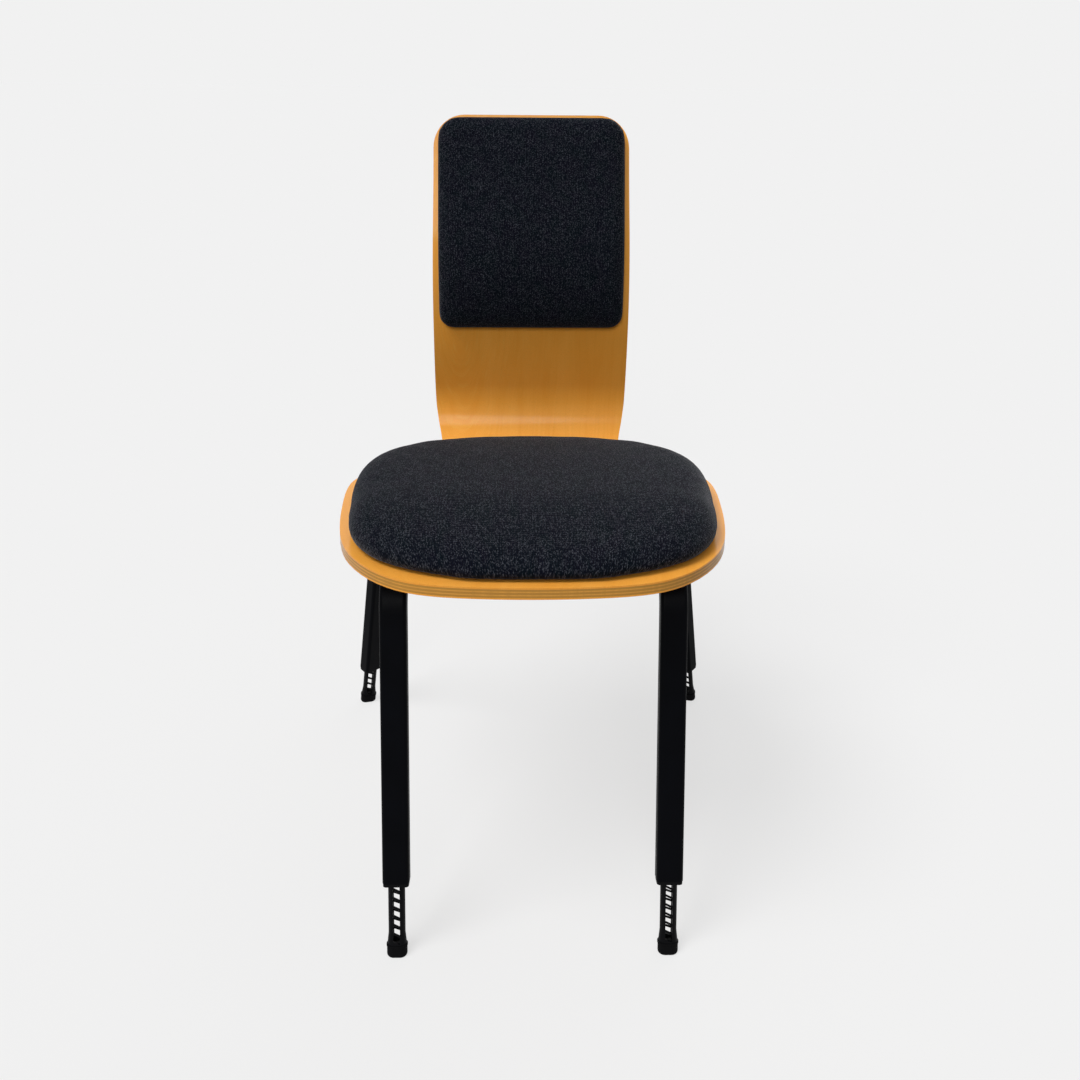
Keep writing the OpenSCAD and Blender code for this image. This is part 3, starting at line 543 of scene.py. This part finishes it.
def beech_ply(sizes, colours):
    """Lacquered beech veneer, with the plies showing in the edge."""
    f = Finish("beech_ply", Roughness=0.42, Coat_Weight=0.55, Coat_IOR=1.32, Coat_Roughness=0.16,
               Specular_IOR_Level=0.02)
    flat = f.add("Attribute", attribute_name="flat").outputs["Vector"]
    along = f.add("SeparateXYZ", {"Vector": flat}).outputs["Y"]
    # The veneer was cut across the rings at a slant: they arch low on the back, left of the middle
    slant = f.add("Mapping", {"Vector": flat, "Location": RING_SHIFT, "Scale": (1, RING_SLANT, 0)})
    reach = f.add("VectorMath", {0: slant.outputs["Vector"]}, operation="LENGTH").outputs["Value"]
    wander = f.maths("MULTIPLY", f.noise(f.place("flat", (13, 7, 0)), 1.0, 3.0), 0.022)
    ring = f.maths("ADD", reach, wander)

    def lines(across, lengthwise, detail):
        at = {"X": f.maths("MULTIPLY", ring, across), "Y": f.maths("MULTIPLY", along, lengthwise)}
        return f.noise(f.add("CombineXYZ", at).outputs["Vector"], 1.0, detail)

    broad = f.noise(f.place("flat", (30, 6, 0)), 1.0, 3.0, 0.5, 0.6)
    streaks, hairs = lines(330, 7.0, 3.0), lines(760, 40.0, 2.0)
    rays = f.noise(f.place("flat", (1500, 420, 0)), 1.0, 2.0)
    grain = f.maths("ADD", f.maths("MULTIPLY", streaks, 0.4), f.maths("MULTIPLY", broad, 0.6))
    face = f.mix(f.ramp(grain, 0.26, 0.68), colours.beech_dark, colours.beech)
    pale = f.maths("MULTIPLY", f.ramp(hairs, 0.52, 0.70), f.ramp(reach, 0.16, 0.02, 0.05, 0.30))
    face = f.mix(pale, face, [min(1.0, c * 1.2 + 0.03) for c in colours.beech])
    wide = f.ramp(lines(240, 5.0, 1.0), 0.64, 0.74, 0.0, 0.07)
    dark_pores = f.maths("ADD", f.ramp(rays, 0.50, 0.75, 0.0, 0.26), wide)
    face = f.mix(dark_pores, face, [c * 0.6 for c in colours.beech_dark])
    # The plies, counted inwards from the sitter's face
    depth = f.add("SeparateXYZ", {"Vector": flat}).outputs["Z"]
    layer = f.maths("MINIMUM", f.maths("MULTIPLY", depth, -PLIES / sizes.ply), PLIES - 0.01)
    crosswise = f.maths("MODULO", f.maths("FLOOR", f.maths("ADD", layer, 0.01)), 2.0)
    seam = f.maths("PINGPONG", layer, 0.5)
    glue = f.maths("MULTIPLY", f.ramp(seam, 0.0, 0.12, 1.0, 0.0), f.maths("GREATER_THAN", layer, 0.5))
    end_pores = f.noise(f.place("flat", (900, 900, 2600)), 1.0, 2.0)
    lengthwise_edge = f.mix(f.ramp(streaks, 0.35, 0.65), [c * 1.12 for c in colours.cross_ply],
                            [c * 1.3 for c in colours.cross_ply])
    cross_edge = f.mix(f.ramp(end_pores, 0.3, 0.7, 0.0, 0.5), colours.cross_ply,
                       [c * 0.75 for c in colours.cross_ply])
    inner = f.maths("MULTIPLY", f.maths("GREATER_THAN", layer, 1.0), f.maths("LESS_THAN", layer, PLIES - 1.0))
    colour = f.mix(inner, face, f.mix(crosswise, lengthwise_edge, cross_edge))
    colour = f.mix(f.maths("MULTIPLY", glue, 0.45), colour, [c * 0.5 for c in colours.cross_ply])
    height = f.maths("SUBTRACT", f.maths("MULTIPLY", streaks, 0.4), dark_pores)
    normal = f.bump(f.maths("SUBTRACT", height, f.maths("MULTIPLY", crosswise, 0.6)), 0.00010, 0.4)
    return f.connect(Base_Color=colour, Normal=normal,
                     Roughness=f.ramp(streaks, 0.3, 0.7, 0.38, 0.46))


def wool_cloth(sizes, colours):
    """Heathered charcoal wool in a fine weave, every stitch of a slightly other grey."""
    f = Finish("wool_cloth", Roughness=1.0, Specular_IOR_Level=0.02, Sheen_Weight=0.20,
               Sheen_Roughness=0.32, Sheen_Tint=(0.96, 0.96, 1.0, 1.0))
    pitch = ONE_WAVE / sizes.thread
    even = f.place("weave", (1, 1, 0))
    threads = {"Vector": even, "Distortion": 1.0, "Detail": 2.0, "Detail Scale": 2.0}
    warp = f.add("TexWave", {**threads, "Scale": pitch}, bands_direction="X").outputs["Fac"]
    weft = f.add("TexWave", {**threads, "Scale": pitch * 0.8}, bands_direction="Y").outputs["Fac"]
    weave = f.maths("MULTIPLY", f.maths("ADD", warp, 0.25), f.maths("ADD", weft, 0.45))
    ribs = f.add("TexWave", {**threads, "Scale": pitch * 0.47}, bands_direction="X").outputs["Fac"]
    stitches = f.add("TexVoronoi", {"Vector": f.place("weave", (1300, 1100, 0)), "Scale": 1.0},
                     voronoi_dimensions="2D").outputs["Color"]
    stitch = f.add("SeparateColor", {"Color": stitches}).outputs["Red"]
    fibres = f.noise(f.place("weave", (1000, 850, 0)), 1.0, 2.0, 0.6)
    fleck = f.maths("MULTIPLY", f.ramp(stitch, 0.64, 1.0), f.ramp(fibres, 0.35, 0.65, 0.3, 1.0))
    cloud = f.noise(f.place("weave", (38, 38, 0)), 1.0, 3.0, 0.6)
    hue = f.noise(f.place("weave", (52, 52, 0)), 1.0, 2.0, 0.5, 0.5)
    amount = f.maths("MULTIPLY", fleck, f.ramp(cloud, 0.3, 0.7, 0.75, 1.0))
    amount = f.maths("MULTIPLY", amount, f.ramp(ribs, 0.0, 1.0, 0.7, 1.0))
    ground = f.mix(f.ramp(hue, 0.35, 0.65), [c * k for c, k in zip(colours.cloth, (1.15, 0.95, 1.1))],
                   [c * k for c, k in zip(colours.cloth, (0.8, 1.15, 1.0))])
    # Painted shade: the ground darkens towards near black in the hollows between the ribs and the threads
    shade = f.ramp(f.maths("MULTIPLY", ribs, f.maths("ADD", weft, 0.6)), 0.0, 1.2, 0.45, 0.0)
    colour = f.mix(amount, f.mix(shade, ground, (0.001, 0.001, 0.002)), colours.cloth_fleck)
    height = f.maths("ADD", f.maths("MULTIPLY", weave, 0.5), fleck)
    return f.connect(Base_Color=colour, Normal=f.bump(height, 0.0004, 0.8))


def powder_coat(colours):
    """Satin black powder coat with its faint orange peel."""
    f = Finish("black_steel", Roughness=0.34, Specular_IOR_Level=0.035)
    peel = f.noise(f.place(None, (1, 1, 1)), 900.0, 2.0)
    blotch = f.noise(f.place(None, (1, 1, 1)), 26.0, 3.0)
    colour = f.mix(f.ramp(blotch, 0.3, 0.7), colours.coat, [c * 1.5 for c in colours.coat])
    return f.connect(Base_Color=colour, Normal=f.bump(peel, 0.00008, 0.35),
                     Roughness=f.ramp(blotch, 0.3, 0.7, 0.38, 0.50))


def moulded(name, colour, roughness, grain):
    """Moulded plastic or rubber with a fine spark-eroded grain."""
    f = Finish(name, Roughness=roughness, Specular_IOR_Level=0.06)
    texture = f.noise(f.place(None, (1, 1, 1)), grain, 3.0)
    scuffs = f.noise(f.place(None, (60, 60, 240)), 1.0, 4.0, 0.6)
    tint = f.mix(f.ramp(scuffs, 0.45, 0.8, 0.0, 0.5), colour, [c * 2.2 for c in colour])
    return f.connect(Base_Color=tint, Normal=f.bump(texture, 0.00010, 0.4),
                     Roughness=f.ramp(scuffs, 0.3, 0.7, roughness - 0.05, roughness + 0.08))


def bare_metal(name, colour, roughness):
    """Plated or polished steel with fine drawn lines."""
    f = Finish(name, Metallic=1.0, Roughness=roughness)
    lines = f.noise(f.place(None, (1400, 1400, 160)), 1.0, 2.0)
    tint = f.mix(f.ramp(lines, 0.3, 0.7), colour, [c * 0.82 for c in colour])
    return f.connect(Base_Color=tint, Normal=f.bump(lines, 0.00004, 0.3),
                     Roughness=f.ramp(lines, 0.3, 0.7, roughness - 0.06, roughness + 0.08))


def raw_board(colours):
    """Raw birch board."""
    f = Finish("birch_board", Roughness=0.7)
    grain = f.noise(f.place(None, (180, 9, 9)), 1.0, 4.0, 0.6)
    colour = f.mix(f.ramp(grain, 0.3, 0.7), colours.board, [c * 0.8 for c in colours.board])
    return f.connect(Base_Color=colour, Normal=f.bump(grain, 0.0001, 0.4))


def paint_nodes(material, *nodes):
    """Give CAD nodes that stay a finish of their own."""
    for name in nodes:
        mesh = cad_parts[name].data
        mesh.materials.clear()
        mesh.materials.append(material)


# Pieces

def on_both_sides(x, places):
    """Screw places left and right, x across and s along the shell."""
    return [(side * x, s) for side in (-1, 1) for s in places]


def back_pad_screws(sizes, path):
    """Where the back pad's screws stand."""
    start = path.length - sizes.back_pad_margin - sizes.back_pad_length
    return on_both_sides(BACK_PAD_SCREW_X, [start + k * sizes.back_pad_length for k in BACK_PAD_SCREW_SHARES])


SEAT_SCREWS = on_both_sides(SEAT_SCREW_X, SEAT_SCREW_S)
SEAT_PAD_SCREWS = on_both_sides(SEAT_PAD_SCREW_X, SEAT_PAD_SCREW_S)


class CHAIR_OT_shell(bpy.types.Operator):
    """Cut the plywood flat, round its edges, drill it and press it to shape"""

    bl_idname = "chair.shell"
    bl_label = "Moulded shell"

    def execute(self, context):
        sizes, colours = context.scene.chair_sizes, context.scene.chair_colours
        path = ShellPath(sizes)
        piece = flat_slab("moulded_shell", shell_outline(sizes, path), -sizes.ply, 0)
        self.round_rims(piece, sizes)
        holes = [(x, s, SEAT_NUT_HOLE) for x, s in SEAT_SCREWS]
        holes += [(x, s, PAD_SCREW_HOLE) for x, s in SEAT_PAD_SCREWS + back_pad_screws(sizes, path)]
        drill(piece, holes)
        bisect_along(piece, 1, self.stations(sizes, path))
        press_to_shape(piece, path)
        activate(piece)
        bpy.ops.object.shade_smooth_by_angle(angle=math.radians(WOOD_CREASE))
        finish_piece(piece, beech_ply(sizes, colours), "beech_ply", FRAME_BODY, "shell")
        return {"FINISHED"}

    @staticmethod
    def round_rims(piece, sizes):
        """Bevel the upper and lower rims."""
        activate(piece)
        bpy.ops.object.mode_set(mode="EDIT")
        select_at(piece, "edges", 0, -sizes.ply)
        bpy.ops.mesh.bevel(offset=sizes.ply_edge, segments=3, affect="EDGES")
        bpy.ops.object.mode_set(mode="OBJECT")

    @staticmethod
    def stations(sizes, path):
        """Where the flat sheet is cut across, closer together where it bends."""
        places = []
        for s, _, _, _, radius, length in path.stretches:
            step = STRAIGHT_STEP if radius == 0 else (BEND_STEP if radius > 0 else LUMBAR_STEP)
            count = max(1, round(length / step))
            places += [s + length * i / count for i in range(count)]
        return places[1:]


class CHAIR_OT_pads(bpy.types.Operator):
    """Upholster both pads: swell each as cloth, fit its board's pocket and lay it on the shell"""

    bl_idname = "chair.pads"
    bl_label = "Pads"

    def execute(self, context):
        sizes, colours = context.scene.chair_sizes, context.scene.chair_colours
        path = ShellPath(sizes)
        cloth = wool_cloth(sizes, colours)
        outline = seat_pad_outline(sizes)
        board = inset(outline, sizes.board_inset - SOFT_GAP)
        flat_end = sizes.seat_flat - sizes.board_inset + SOFT_GAP
        board = [Vector((p.x, min(p.y, flat_end))) for p in board]
        seat = self.cushion("seat_cushion", outline, sizes.seat_pad_height, sizes.seat_pad_roll)
        self.thin_front(seat, sizes.seat_pad_fall, SEAT_PAD_THINNING)
        self.finish(seat, outline, board, sizes, path, sizes.seat_pad_height, SEAT_WEAVE_SHARE)
        finish_piece(seat, cloth, "wool_cloth", FRAME_BODY, "seat_pad")
        outline = back_pad_outline(sizes, path)
        board = self.rectangle(outline, sizes.board_inset - SOFT_GAP)
        back = self.cushion("back_cushion", outline, sizes.back_pad_height, sizes.back_pad_roll)
        self.thin_front(back, sizes.back_pad_fall, BACK_PAD_THINNING)
        self.finish(back, outline, board, sizes, path, sizes.back_pad_height, BACK_WEAVE_SHARE)
        finish_piece(back, cloth, "wool_cloth", FRAME_BODY, "back_pad")
        paint_nodes(raw_board(colours), "seat_pad_board", "back_pad_board")
        return {"FINISHED"}

    @staticmethod
    def rectangle(outline, margin):
        """The outline's box, moved in by a margin."""
        xs, ys = [p.x for p in outline], [p.y for p in outline]
        return [Vector((x, y)) for x, y in (
            (min(xs) + margin, min(ys) + margin), (max(xs) - margin, min(ys) + margin),
            (max(xs) - margin, max(ys) - margin), (min(xs) + margin, max(ys) - margin))]

    @staticmethod
    def cushion(name, outline, thickness, roll):
        """A closed cushion on its outline, from rings, swollen as cloth."""
        ys = [p.y for p in outline]
        middle = Vector((0, (min(ys) + max(ys)) / 2))
        base, top = inset(outline, PAD_EDGE_SHARES[0][0] * roll), inset(outline, roll)
        crown = UNSWOLLEN
        rings = [([middle + (p - middle) * k for p in base], 0) for k in PAD_BASE_SHARES]
        rings += [(inset(outline, k * roll), h) for k, h in PAD_EDGE_SHARES]
        rings += [([middle + (p - middle) * k for p in top], PAD_RIM + (h - PAD_RIM) * crown)
                  for k, h in PAD_CROWN_SHARES]
        mesh = bmesh.new()
        loops = [[mesh.verts.new((p.x, p.y, SOFT_GAP + h * thickness)) for p in ring] for ring, h in rings]
        for lower, upper in zip(loops, loops[1:]):
            for i in range(len(lower)):
                j = (i + 1) % len(lower)
                mesh.faces.new((lower[i], lower[j], upper[j], upper[i]))
        bmesh.ops.remove_doubles(mesh, verts=mesh.verts, dist=0.001 * MM)
        bmesh.ops.recalc_face_normals(mesh, faces=mesh.faces)
        data = bpy.data.meshes.new(name)
        mesh.to_mesh(data)
        mesh.free()
        piece = bpy.data.objects.new(name, data)
        bpy.context.scene.collection.objects.link(piece)
        apply_modifier(piece, "SUBSURF", levels=1, render_levels=1)
        CHAIR_OT_pads.swell(piece, (1 - PAD_RIM) * (1 - crown) * thickness, PAD_RIM * thickness)
        xs = [p.x for p in outline]
        CHAIR_OT_pads.fit(piece, (min(xs), min(ys), SOFT_GAP), (max(xs), max(ys), SOFT_GAP + thickness))
        return piece

    @staticmethod
    def swell(piece, rise, rim):
        """Remesh the cushion and swell it as cloth, as far as lifts its crown by the rise."""
        activate(piece)
        piece.data.remesh_voxel_size = FOAM_CELL
        bpy.ops.object.voxel_remesh()
        apply_modifier(piece, "SMOOTH", factor=0.5, iterations=2)
        before = [v.co.copy() for v in piece.data.vertices]
        held = piece.vertex_groups.new(name="held")
        held.add([v.index for v in piece.data.vertices if v.co.z < HELD_BELOW], 1.0, "REPLACE")
        cloth = piece.modifiers.new("Cloth", "CLOTH")
        settings = cloth.settings
        settings.vertex_group_mass = "held"
        settings.use_pressure = True
        settings.uniform_pressure_force = SWELL_PRESSURE
        settings.effector_weights.gravity = 0.0
        settings.tension_stiffness = settings.compression_stiffness = CLOTH_STIFFNESS
        settings.bending_stiffness = CLOTH_BENDING
        scene = bpy.context.scene
        cloth.point_cache.frame_start, cloth.point_cache.frame_end = 1, SWELL_FRAMES
        for number in range(1, SWELL_FRAMES + 1):
            scene.frame_set(number)
        activate(piece)
        bpy.ops.object.modifier_apply(modifier=cloth.name)
        scene.frame_set(1)
        moves = [v.co - start for v, start in zip(piece.data.vertices, before)]
        highest = max(move.z for move in moves)
        for vertex, start, move in zip(piece.data.vertices, before, moves):
            free = min(1.0, max(0.0, start.z / rim - SWELL_FROM) / SWELL_OVER)
            vertex.co = start + move * (rise / highest) * free * free * (3 - 2 * free)
        piece.vertex_groups.clear()
        apply_modifier(piece, "SMOOTH", factor=0.5, iterations=2)
        apply_modifier(piece, "SUBSURF", levels=1, render_levels=1)

    @staticmethod
    def thin_front(piece, reach, share):
        """Let a cushion's top roll down towards its front or lower edge."""
        points = [v.co for v in piece.data.vertices]
        edge = min(p.y for p in points)
        for p in points:
            near = max(0.0, 1 - (p.y - edge) / reach)
            p.z = SOFT_GAP + (p.z - SOFT_GAP) * (1 - share * near * near)

    @staticmethod
    def fit(piece, low, high):
        """Stretch the piece a little so that it fills its box again."""
        points = [v.co for v in piece.data.vertices]
        for axis in range(3):
            least = min(p[axis] for p in points)
            most = max(p[axis] for p in points)
            scale = (high[axis] - low[axis]) / (most - least)
            for p in points:
                p[axis] = low[axis] + (p[axis] - least) * scale

    @staticmethod
    def finish(piece, outline, board, sizes, path, thickness, weave_share):
        """Cut the board's pocket, keep the weave's places and lay the pad on the shell."""
        cutter = flat_slab("pocket", board, -POCKET_OVERRUN, sizes.board + POCKET_ROOM)
        low, high = min(p.y for p in board), max(p.y for p in board)
        strips = round((high - low) / POCKET_STRIP)
        bisect_along(cutter, 1, [low + (high - low) * k / strips for k in range(1, strips)])
        apply_modifier(piece, "BOOLEAN", object=cutter, operation="DIFFERENCE", solver="EXACT")
        bpy.data.objects.remove(cutter)
        xs, ys = [p.x for p in outline], [p.y for p in outline]
        middle = Vector(((min(xs) + max(xs)) / 2, (min(ys) + max(ys)) / 2))
        crest = PAD_RIM * thickness
        places = []
        for vertex in piece.data.vertices:
            out = Vector((vertex.co.x, vertex.co.y)) - middle
            drop = max(0.0, crest - vertex.co.z)
            place = out + out.normalized() * drop if out.length > 0 else out
            places.append((place.x, place.y * weave_share, 0))
        store_places(piece, "weave", places)
        press_to_shape(piece, path)
        activate(piece)
        bpy.ops.object.shade_smooth_by_angle(angle=math.radians(CLOTH_CREASE))


class CHAIR_OT_screws(bpy.types.Operator):
    """Model the screws with their domed heads and driver recesses"""

    bl_idname = "chair.screws"
    bl_label = "Screws"

    def execute(self, context):
        sizes, colours = context.scene.chair_sizes, context.scene.chair_colours
        path = ShellPath(sizes)
        zinc = bare_metal("zinc_steel", colours.zinc, 0.30)
        pad_screw = self.screw("pad_screw", -sizes.ply - SCREW_GAP, *PAD_SCREW)
        for name, node, places in (
            ("seat_pad_wood_screws", "seat_pad_screws", SEAT_PAD_SCREWS),
            ("back_pad_wood_screws", "back_pad_screws", back_pad_screws(sizes, path)),
        ):
            group = self.copies(pad_screw, name, [path.frame(x, s, 0) for x, s in places])
            finish_piece(group, zinc, "zinc_steel", FRAME_BODY, node)
        bpy.data.objects.remove(pad_screw)
        seat_screw = self.screw("seat_screw", SEAT_SCREW_HEAD_AT, *SEAT_SCREW)
        group = self.copies(seat_screw, "seat_machine_screws", [path.frame(x, s, 0) for x, s in SEAT_SCREWS])
        finish_piece(group, zinc, "zinc_steel", FRAME_BODY, "seat_screws")
        bpy.data.objects.remove(seat_screw)
        paint_nodes(zinc, "seat_nuts")
        return {"FINISHED"}

    @staticmethod
    def screw(name, head_at, head_radius, head_height, shank_radius, tip_at, recess_sides):
        """A screw standing up along Z, its domed head below head_at, with a recess in it."""
        deselect_all()
        bpy.ops.mesh.primitive_cylinder_add(
            vertices=ROUND_SIDES, radius=head_radius, depth=head_height,
            location=(0, 0, head_at - head_height / 2))
        piece = name_active(name)
        bpy.ops.object.transform_apply(location=True)
        bpy.ops.object.mode_set(mode="EDIT")
        low = head_at - head_height
        select_at(piece, "edges", low)
        bpy.ops.mesh.bevel(offset=head_height * DOME_SHARE, segments=5, affect="EDGES")
        select_at(piece, "faces", head_at)
        bpy.ops.mesh.inset(thickness=head_radius - shank_radius)
        bpy.ops.mesh.extrude_region_move(TRANSFORM_OT_translate={"value": (0, 0, tip_at - head_at)})
        bpy.ops.object.mode_set(mode="OBJECT")
        depth = head_height * RECESS_DEPTH_SHARE
        cutters = []
        if recess_sides == 4:
            for turn in (0, 90):
                bpy.ops.mesh.primitive_cube_add(size=1, location=(0, 0, low))
                bar = bpy.context.object
                bar.scale = (head_radius * CROSS_LENGTH_SHARE, head_radius * CROSS_WIDTH_SHARE, 2 * depth)
                bar.rotation_euler.z = math.radians(turn)
                bpy.ops.object.transform_apply(location=True, rotation=True, scale=True)
                cutters.append(bar)
        else:
            bpy.ops.mesh.primitive_cylinder_add(
                vertices=recess_sides, radius=head_radius * HEXAGON_SHARE, depth=2 * depth,
                location=(0, 0, low))
            cutters.append(bpy.context.object)
        for cutter in cutters:
            apply_modifier(piece, "BOOLEAN", object=cutter, operation="DIFFERENCE", solver="EXACT")
            bpy.data.objects.remove(cutter)
        activate(piece)
        bpy.ops.object.shade_smooth_by_angle(angle=math.radians(METAL_CREASE))
        return piece

    @staticmethod
    def copies(model, name, matrices):
        """Copies of a model, one at each matrix, joined as one piece."""
        deselect_all()
        made = []
        for matrix in matrices:
            copy = bpy.data.objects.new(name, model.data.copy())
            copy.data.transform(matrix)
            bpy.context.scene.collection.objects.link(copy)
            made.append(copy)
        for copy in made:
            copy.select_set(True)
        bpy.context.view_layer.objects.active = made[0]
        bpy.ops.object.join()
        return name_active(name)


class CHAIR_OT_frame(bpy.types.Operator):
    """Powder coat the steel frame"""

    bl_idname = "chair.frame"
    bl_label = "Steel frame"

    def execute(self, context):
        colours = context.scene.chair_colours
        paint_nodes(powder_coat(colours), "front_leg_left", "front_leg_right", "rear_leg_left",
                    "rear_leg_right", "front_cross_tube", "rear_cross_tube", "guide_rivets")
        paint_nodes(moulded("black_plastic", colours.plastic, 0.55, 1400.0), "seat_spacers",
                    *(f"guide_{c}" for c in CORNERS))
        return {"FINISHED"}


class CHAIR_OT_feet(bpy.types.Operator):
    """Finish the stems, catches and rubber feet"""

    bl_idname = "chair.feet"
    bl_label = "Stems and feet"

    def execute(self, context):
        colours = context.scene.chair_colours
        paint_nodes(moulded("black_nylon", colours.plastic, 0.42, 1100.0), *(f"stem_{c}" for c in CORNERS))
        paint_nodes(moulded("black_rubber", colours.rubber, 0.72, 700.0), *(f"foot_{c}" for c in CORNERS))
        paint_nodes(bare_metal("spring_steel", colours.spring, 0.25), *(f"catch_{c}" for c in CORNERS))
        return {"FINISHED"}


class CHAIR_OT_stage(bpy.types.Operator):
    """Set the floor, the lights and the camera"""

    bl_idname = "chair.stage"
    bl_label = "Studio"

    def execute(self, context):
        colours = context.scene.chair_colours
        self.floor(colours)
        self.surroundings(context.scene, colours)
        self.lamps()
        self.camera(context.scene)
        return {"FINISHED"}

    @staticmethod
    def pale_rays(tree):
        """1 for the rays that show the background: to the camera, off gloss and through glass."""
        rays = tree.nodes.new("ShaderNodeLightPath")
        total = rays.outputs["Is Camera Ray"]
        for name in ("Is Glossy Ray", "Is Transmission Ray"):
            both = tree.nodes.new("ShaderNodeMath")
            both.operation = "MAXIMUM"
            tree.links.new(total, both.inputs[0])
            tree.links.new(rays.outputs[name], both.inputs[1])
            total = both.outputs[0]
        return total

    @classmethod
    def floor(cls, colours):
        """A plain floor, pale to the eye and darker in the light that it sends back up."""
        deselect_all()
        bpy.ops.mesh.primitive_plane_add(size=FLOOR_SIZE)
        floor = name_active("studio_floor")
        f = Finish("studio_floor", Roughness=0.95, Specular_IOR_Level=0.0)
        rays = cls.pale_rays(f.tree)
        dim = [c * FLOOR_BOUNCE for c in colours.floor]
        f.connect(Base_Color=f.mix(rays, dim, colours.floor))
        glow = f.add("Emission", {"Color": (*colours.floor, 1)}).outputs["Emission"]
        amount = f.maths("MULTIPLY", rays, FLOOR_GLOW)
        both = f.add("MixShader", {0: amount, 1: f.shader.outputs["BSDF"], 2: glow})
        f.tree.links.new(both.outputs["Shader"], f.tree.nodes["Material Output"].inputs["Surface"])
        floor.data.materials.append(f.material)

    @classmethod
    def surroundings(cls, scene, colours):
        """A dim even light all round, behind a background as pale as the floor."""
        world = bpy.data.worlds.new("studio")
        world.use_nodes = True
        scene.world = world
        tree = world.node_tree
        light = tree.nodes["Background"]
        light.inputs["Color"].default_value = (1, 1, 1, 1)
        light.inputs["Strength"].default_value = AMBIENT
        seen = tree.nodes.new("ShaderNodeBackground")
        seen.inputs["Color"].default_value = (*colours.floor, 1)
        both = tree.nodes.new("ShaderNodeMixShader")
        tree.links.new(cls.pale_rays(tree), both.inputs["Fac"])
        tree.links.new(light.outputs["Background"], both.inputs[1])
        tree.links.new(seen.outputs["Background"], both.inputs[2])
        tree.links.new(both.outputs["Shader"], tree.nodes["World Output"].inputs["Surface"])

    @staticmethod
    def lamps():
        """Broad soft lights, which with the ambient light add up to 1 on the floor."""
        for name, share, softness, direction in LAMPS:
            towards = Vector(direction).normalized()
            lamp = bpy.data.lights.new(name, "SUN")
            lamp.energy = share * math.pi / towards.z
            lamp.angle = math.radians(softness)
            holder = bpy.data.objects.new(name, lamp)
            holder.rotation_mode = "QUATERNION"
            holder.rotation_quaternion = towards.to_track_quat("Z", "Y")
            bpy.context.scene.collection.objects.link(holder)

    @staticmethod
    def camera(scene):
        """The photograph's camera, found from the chair's own lines."""
        pitch, yaw, roll = (math.radians(turn) for turn in (CAMERA_PITCH, CAMERA_YAW, CAMERA_ROLL))
        ahead = Vector((math.sin(yaw) * math.cos(pitch), math.cos(yaw) * math.cos(pitch), -math.sin(pitch)))
        level = Vector((math.cos(yaw), -math.sin(yaw), 0))
        down = ahead.cross(level)
        right = level * math.cos(roll) + down * math.sin(roll)
        below = down * math.cos(roll) - level * math.sin(roll)
        data = bpy.data.cameras.new("photo_camera")
        data.sensor_width = 36.0
        data.lens = FOCAL_PX / FRAME_PX * data.sensor_width
        data.shift_x = (FRAME_PX / 2 - CENTRE_COLUMN_PX) / FRAME_PX
        data.shift_y = (CENTRE_ROW_PX - FRAME_PX / 2) / FRAME_PX
        holder = bpy.data.objects.new("photo_camera", data)
        turn = Matrix((right, -below, -ahead)).transposed().to_4x4()
        place = Vector((CAMERA_X, front_edge() - CAMERA_IN_FRONT, CAMERA_HEIGHT))
        holder.matrix_world = Matrix.Translation(place) @ turn
        scene.collection.objects.link(holder)
        scene.camera = holder


class CHAIR_PT_panel(bpy.types.Panel):
    """The chair's steps, in order"""

    bl_label = "Choir chair"
    bl_idname = "CHAIR_PT_panel"
    bl_space_type = "VIEW_3D"
    bl_region_type = "UI"
    bl_category = "Chair"

    def draw(self, context):
        for step in STEPS:
            self.layout.operator(step.bl_idname, text=step.bl_label)


STEPS = (CHAIR_OT_stage, CHAIR_OT_shell, CHAIR_OT_pads, CHAIR_OT_screws, CHAIR_OT_frame, CHAIR_OT_feet)
CLASSES = (ChairSizes, ChairColours, *STEPS, CHAIR_PT_panel)


def register():
    for item in CLASSES:
        bpy.utils.register_class(item)
    bpy.types.Scene.chair_sizes = bpy.props.PointerProperty(type=ChairSizes)
    bpy.types.Scene.chair_colours = bpy.props.PointerProperty(type=ChairColours)


def unregister():
    del bpy.types.Scene.chair_colours
    del bpy.types.Scene.chair_sizes
    for item in reversed(CLASSES):
        bpy.utils.unregister_class(item)


def main():
    register()
    bpy.context.scene.view_settings.view_transform = "Standard"
    for step in STEPS:
        group, name = step.bl_idname.split(".")
        getattr(getattr(bpy.ops, group), name)()


if __name__ == "__main__":
    main()
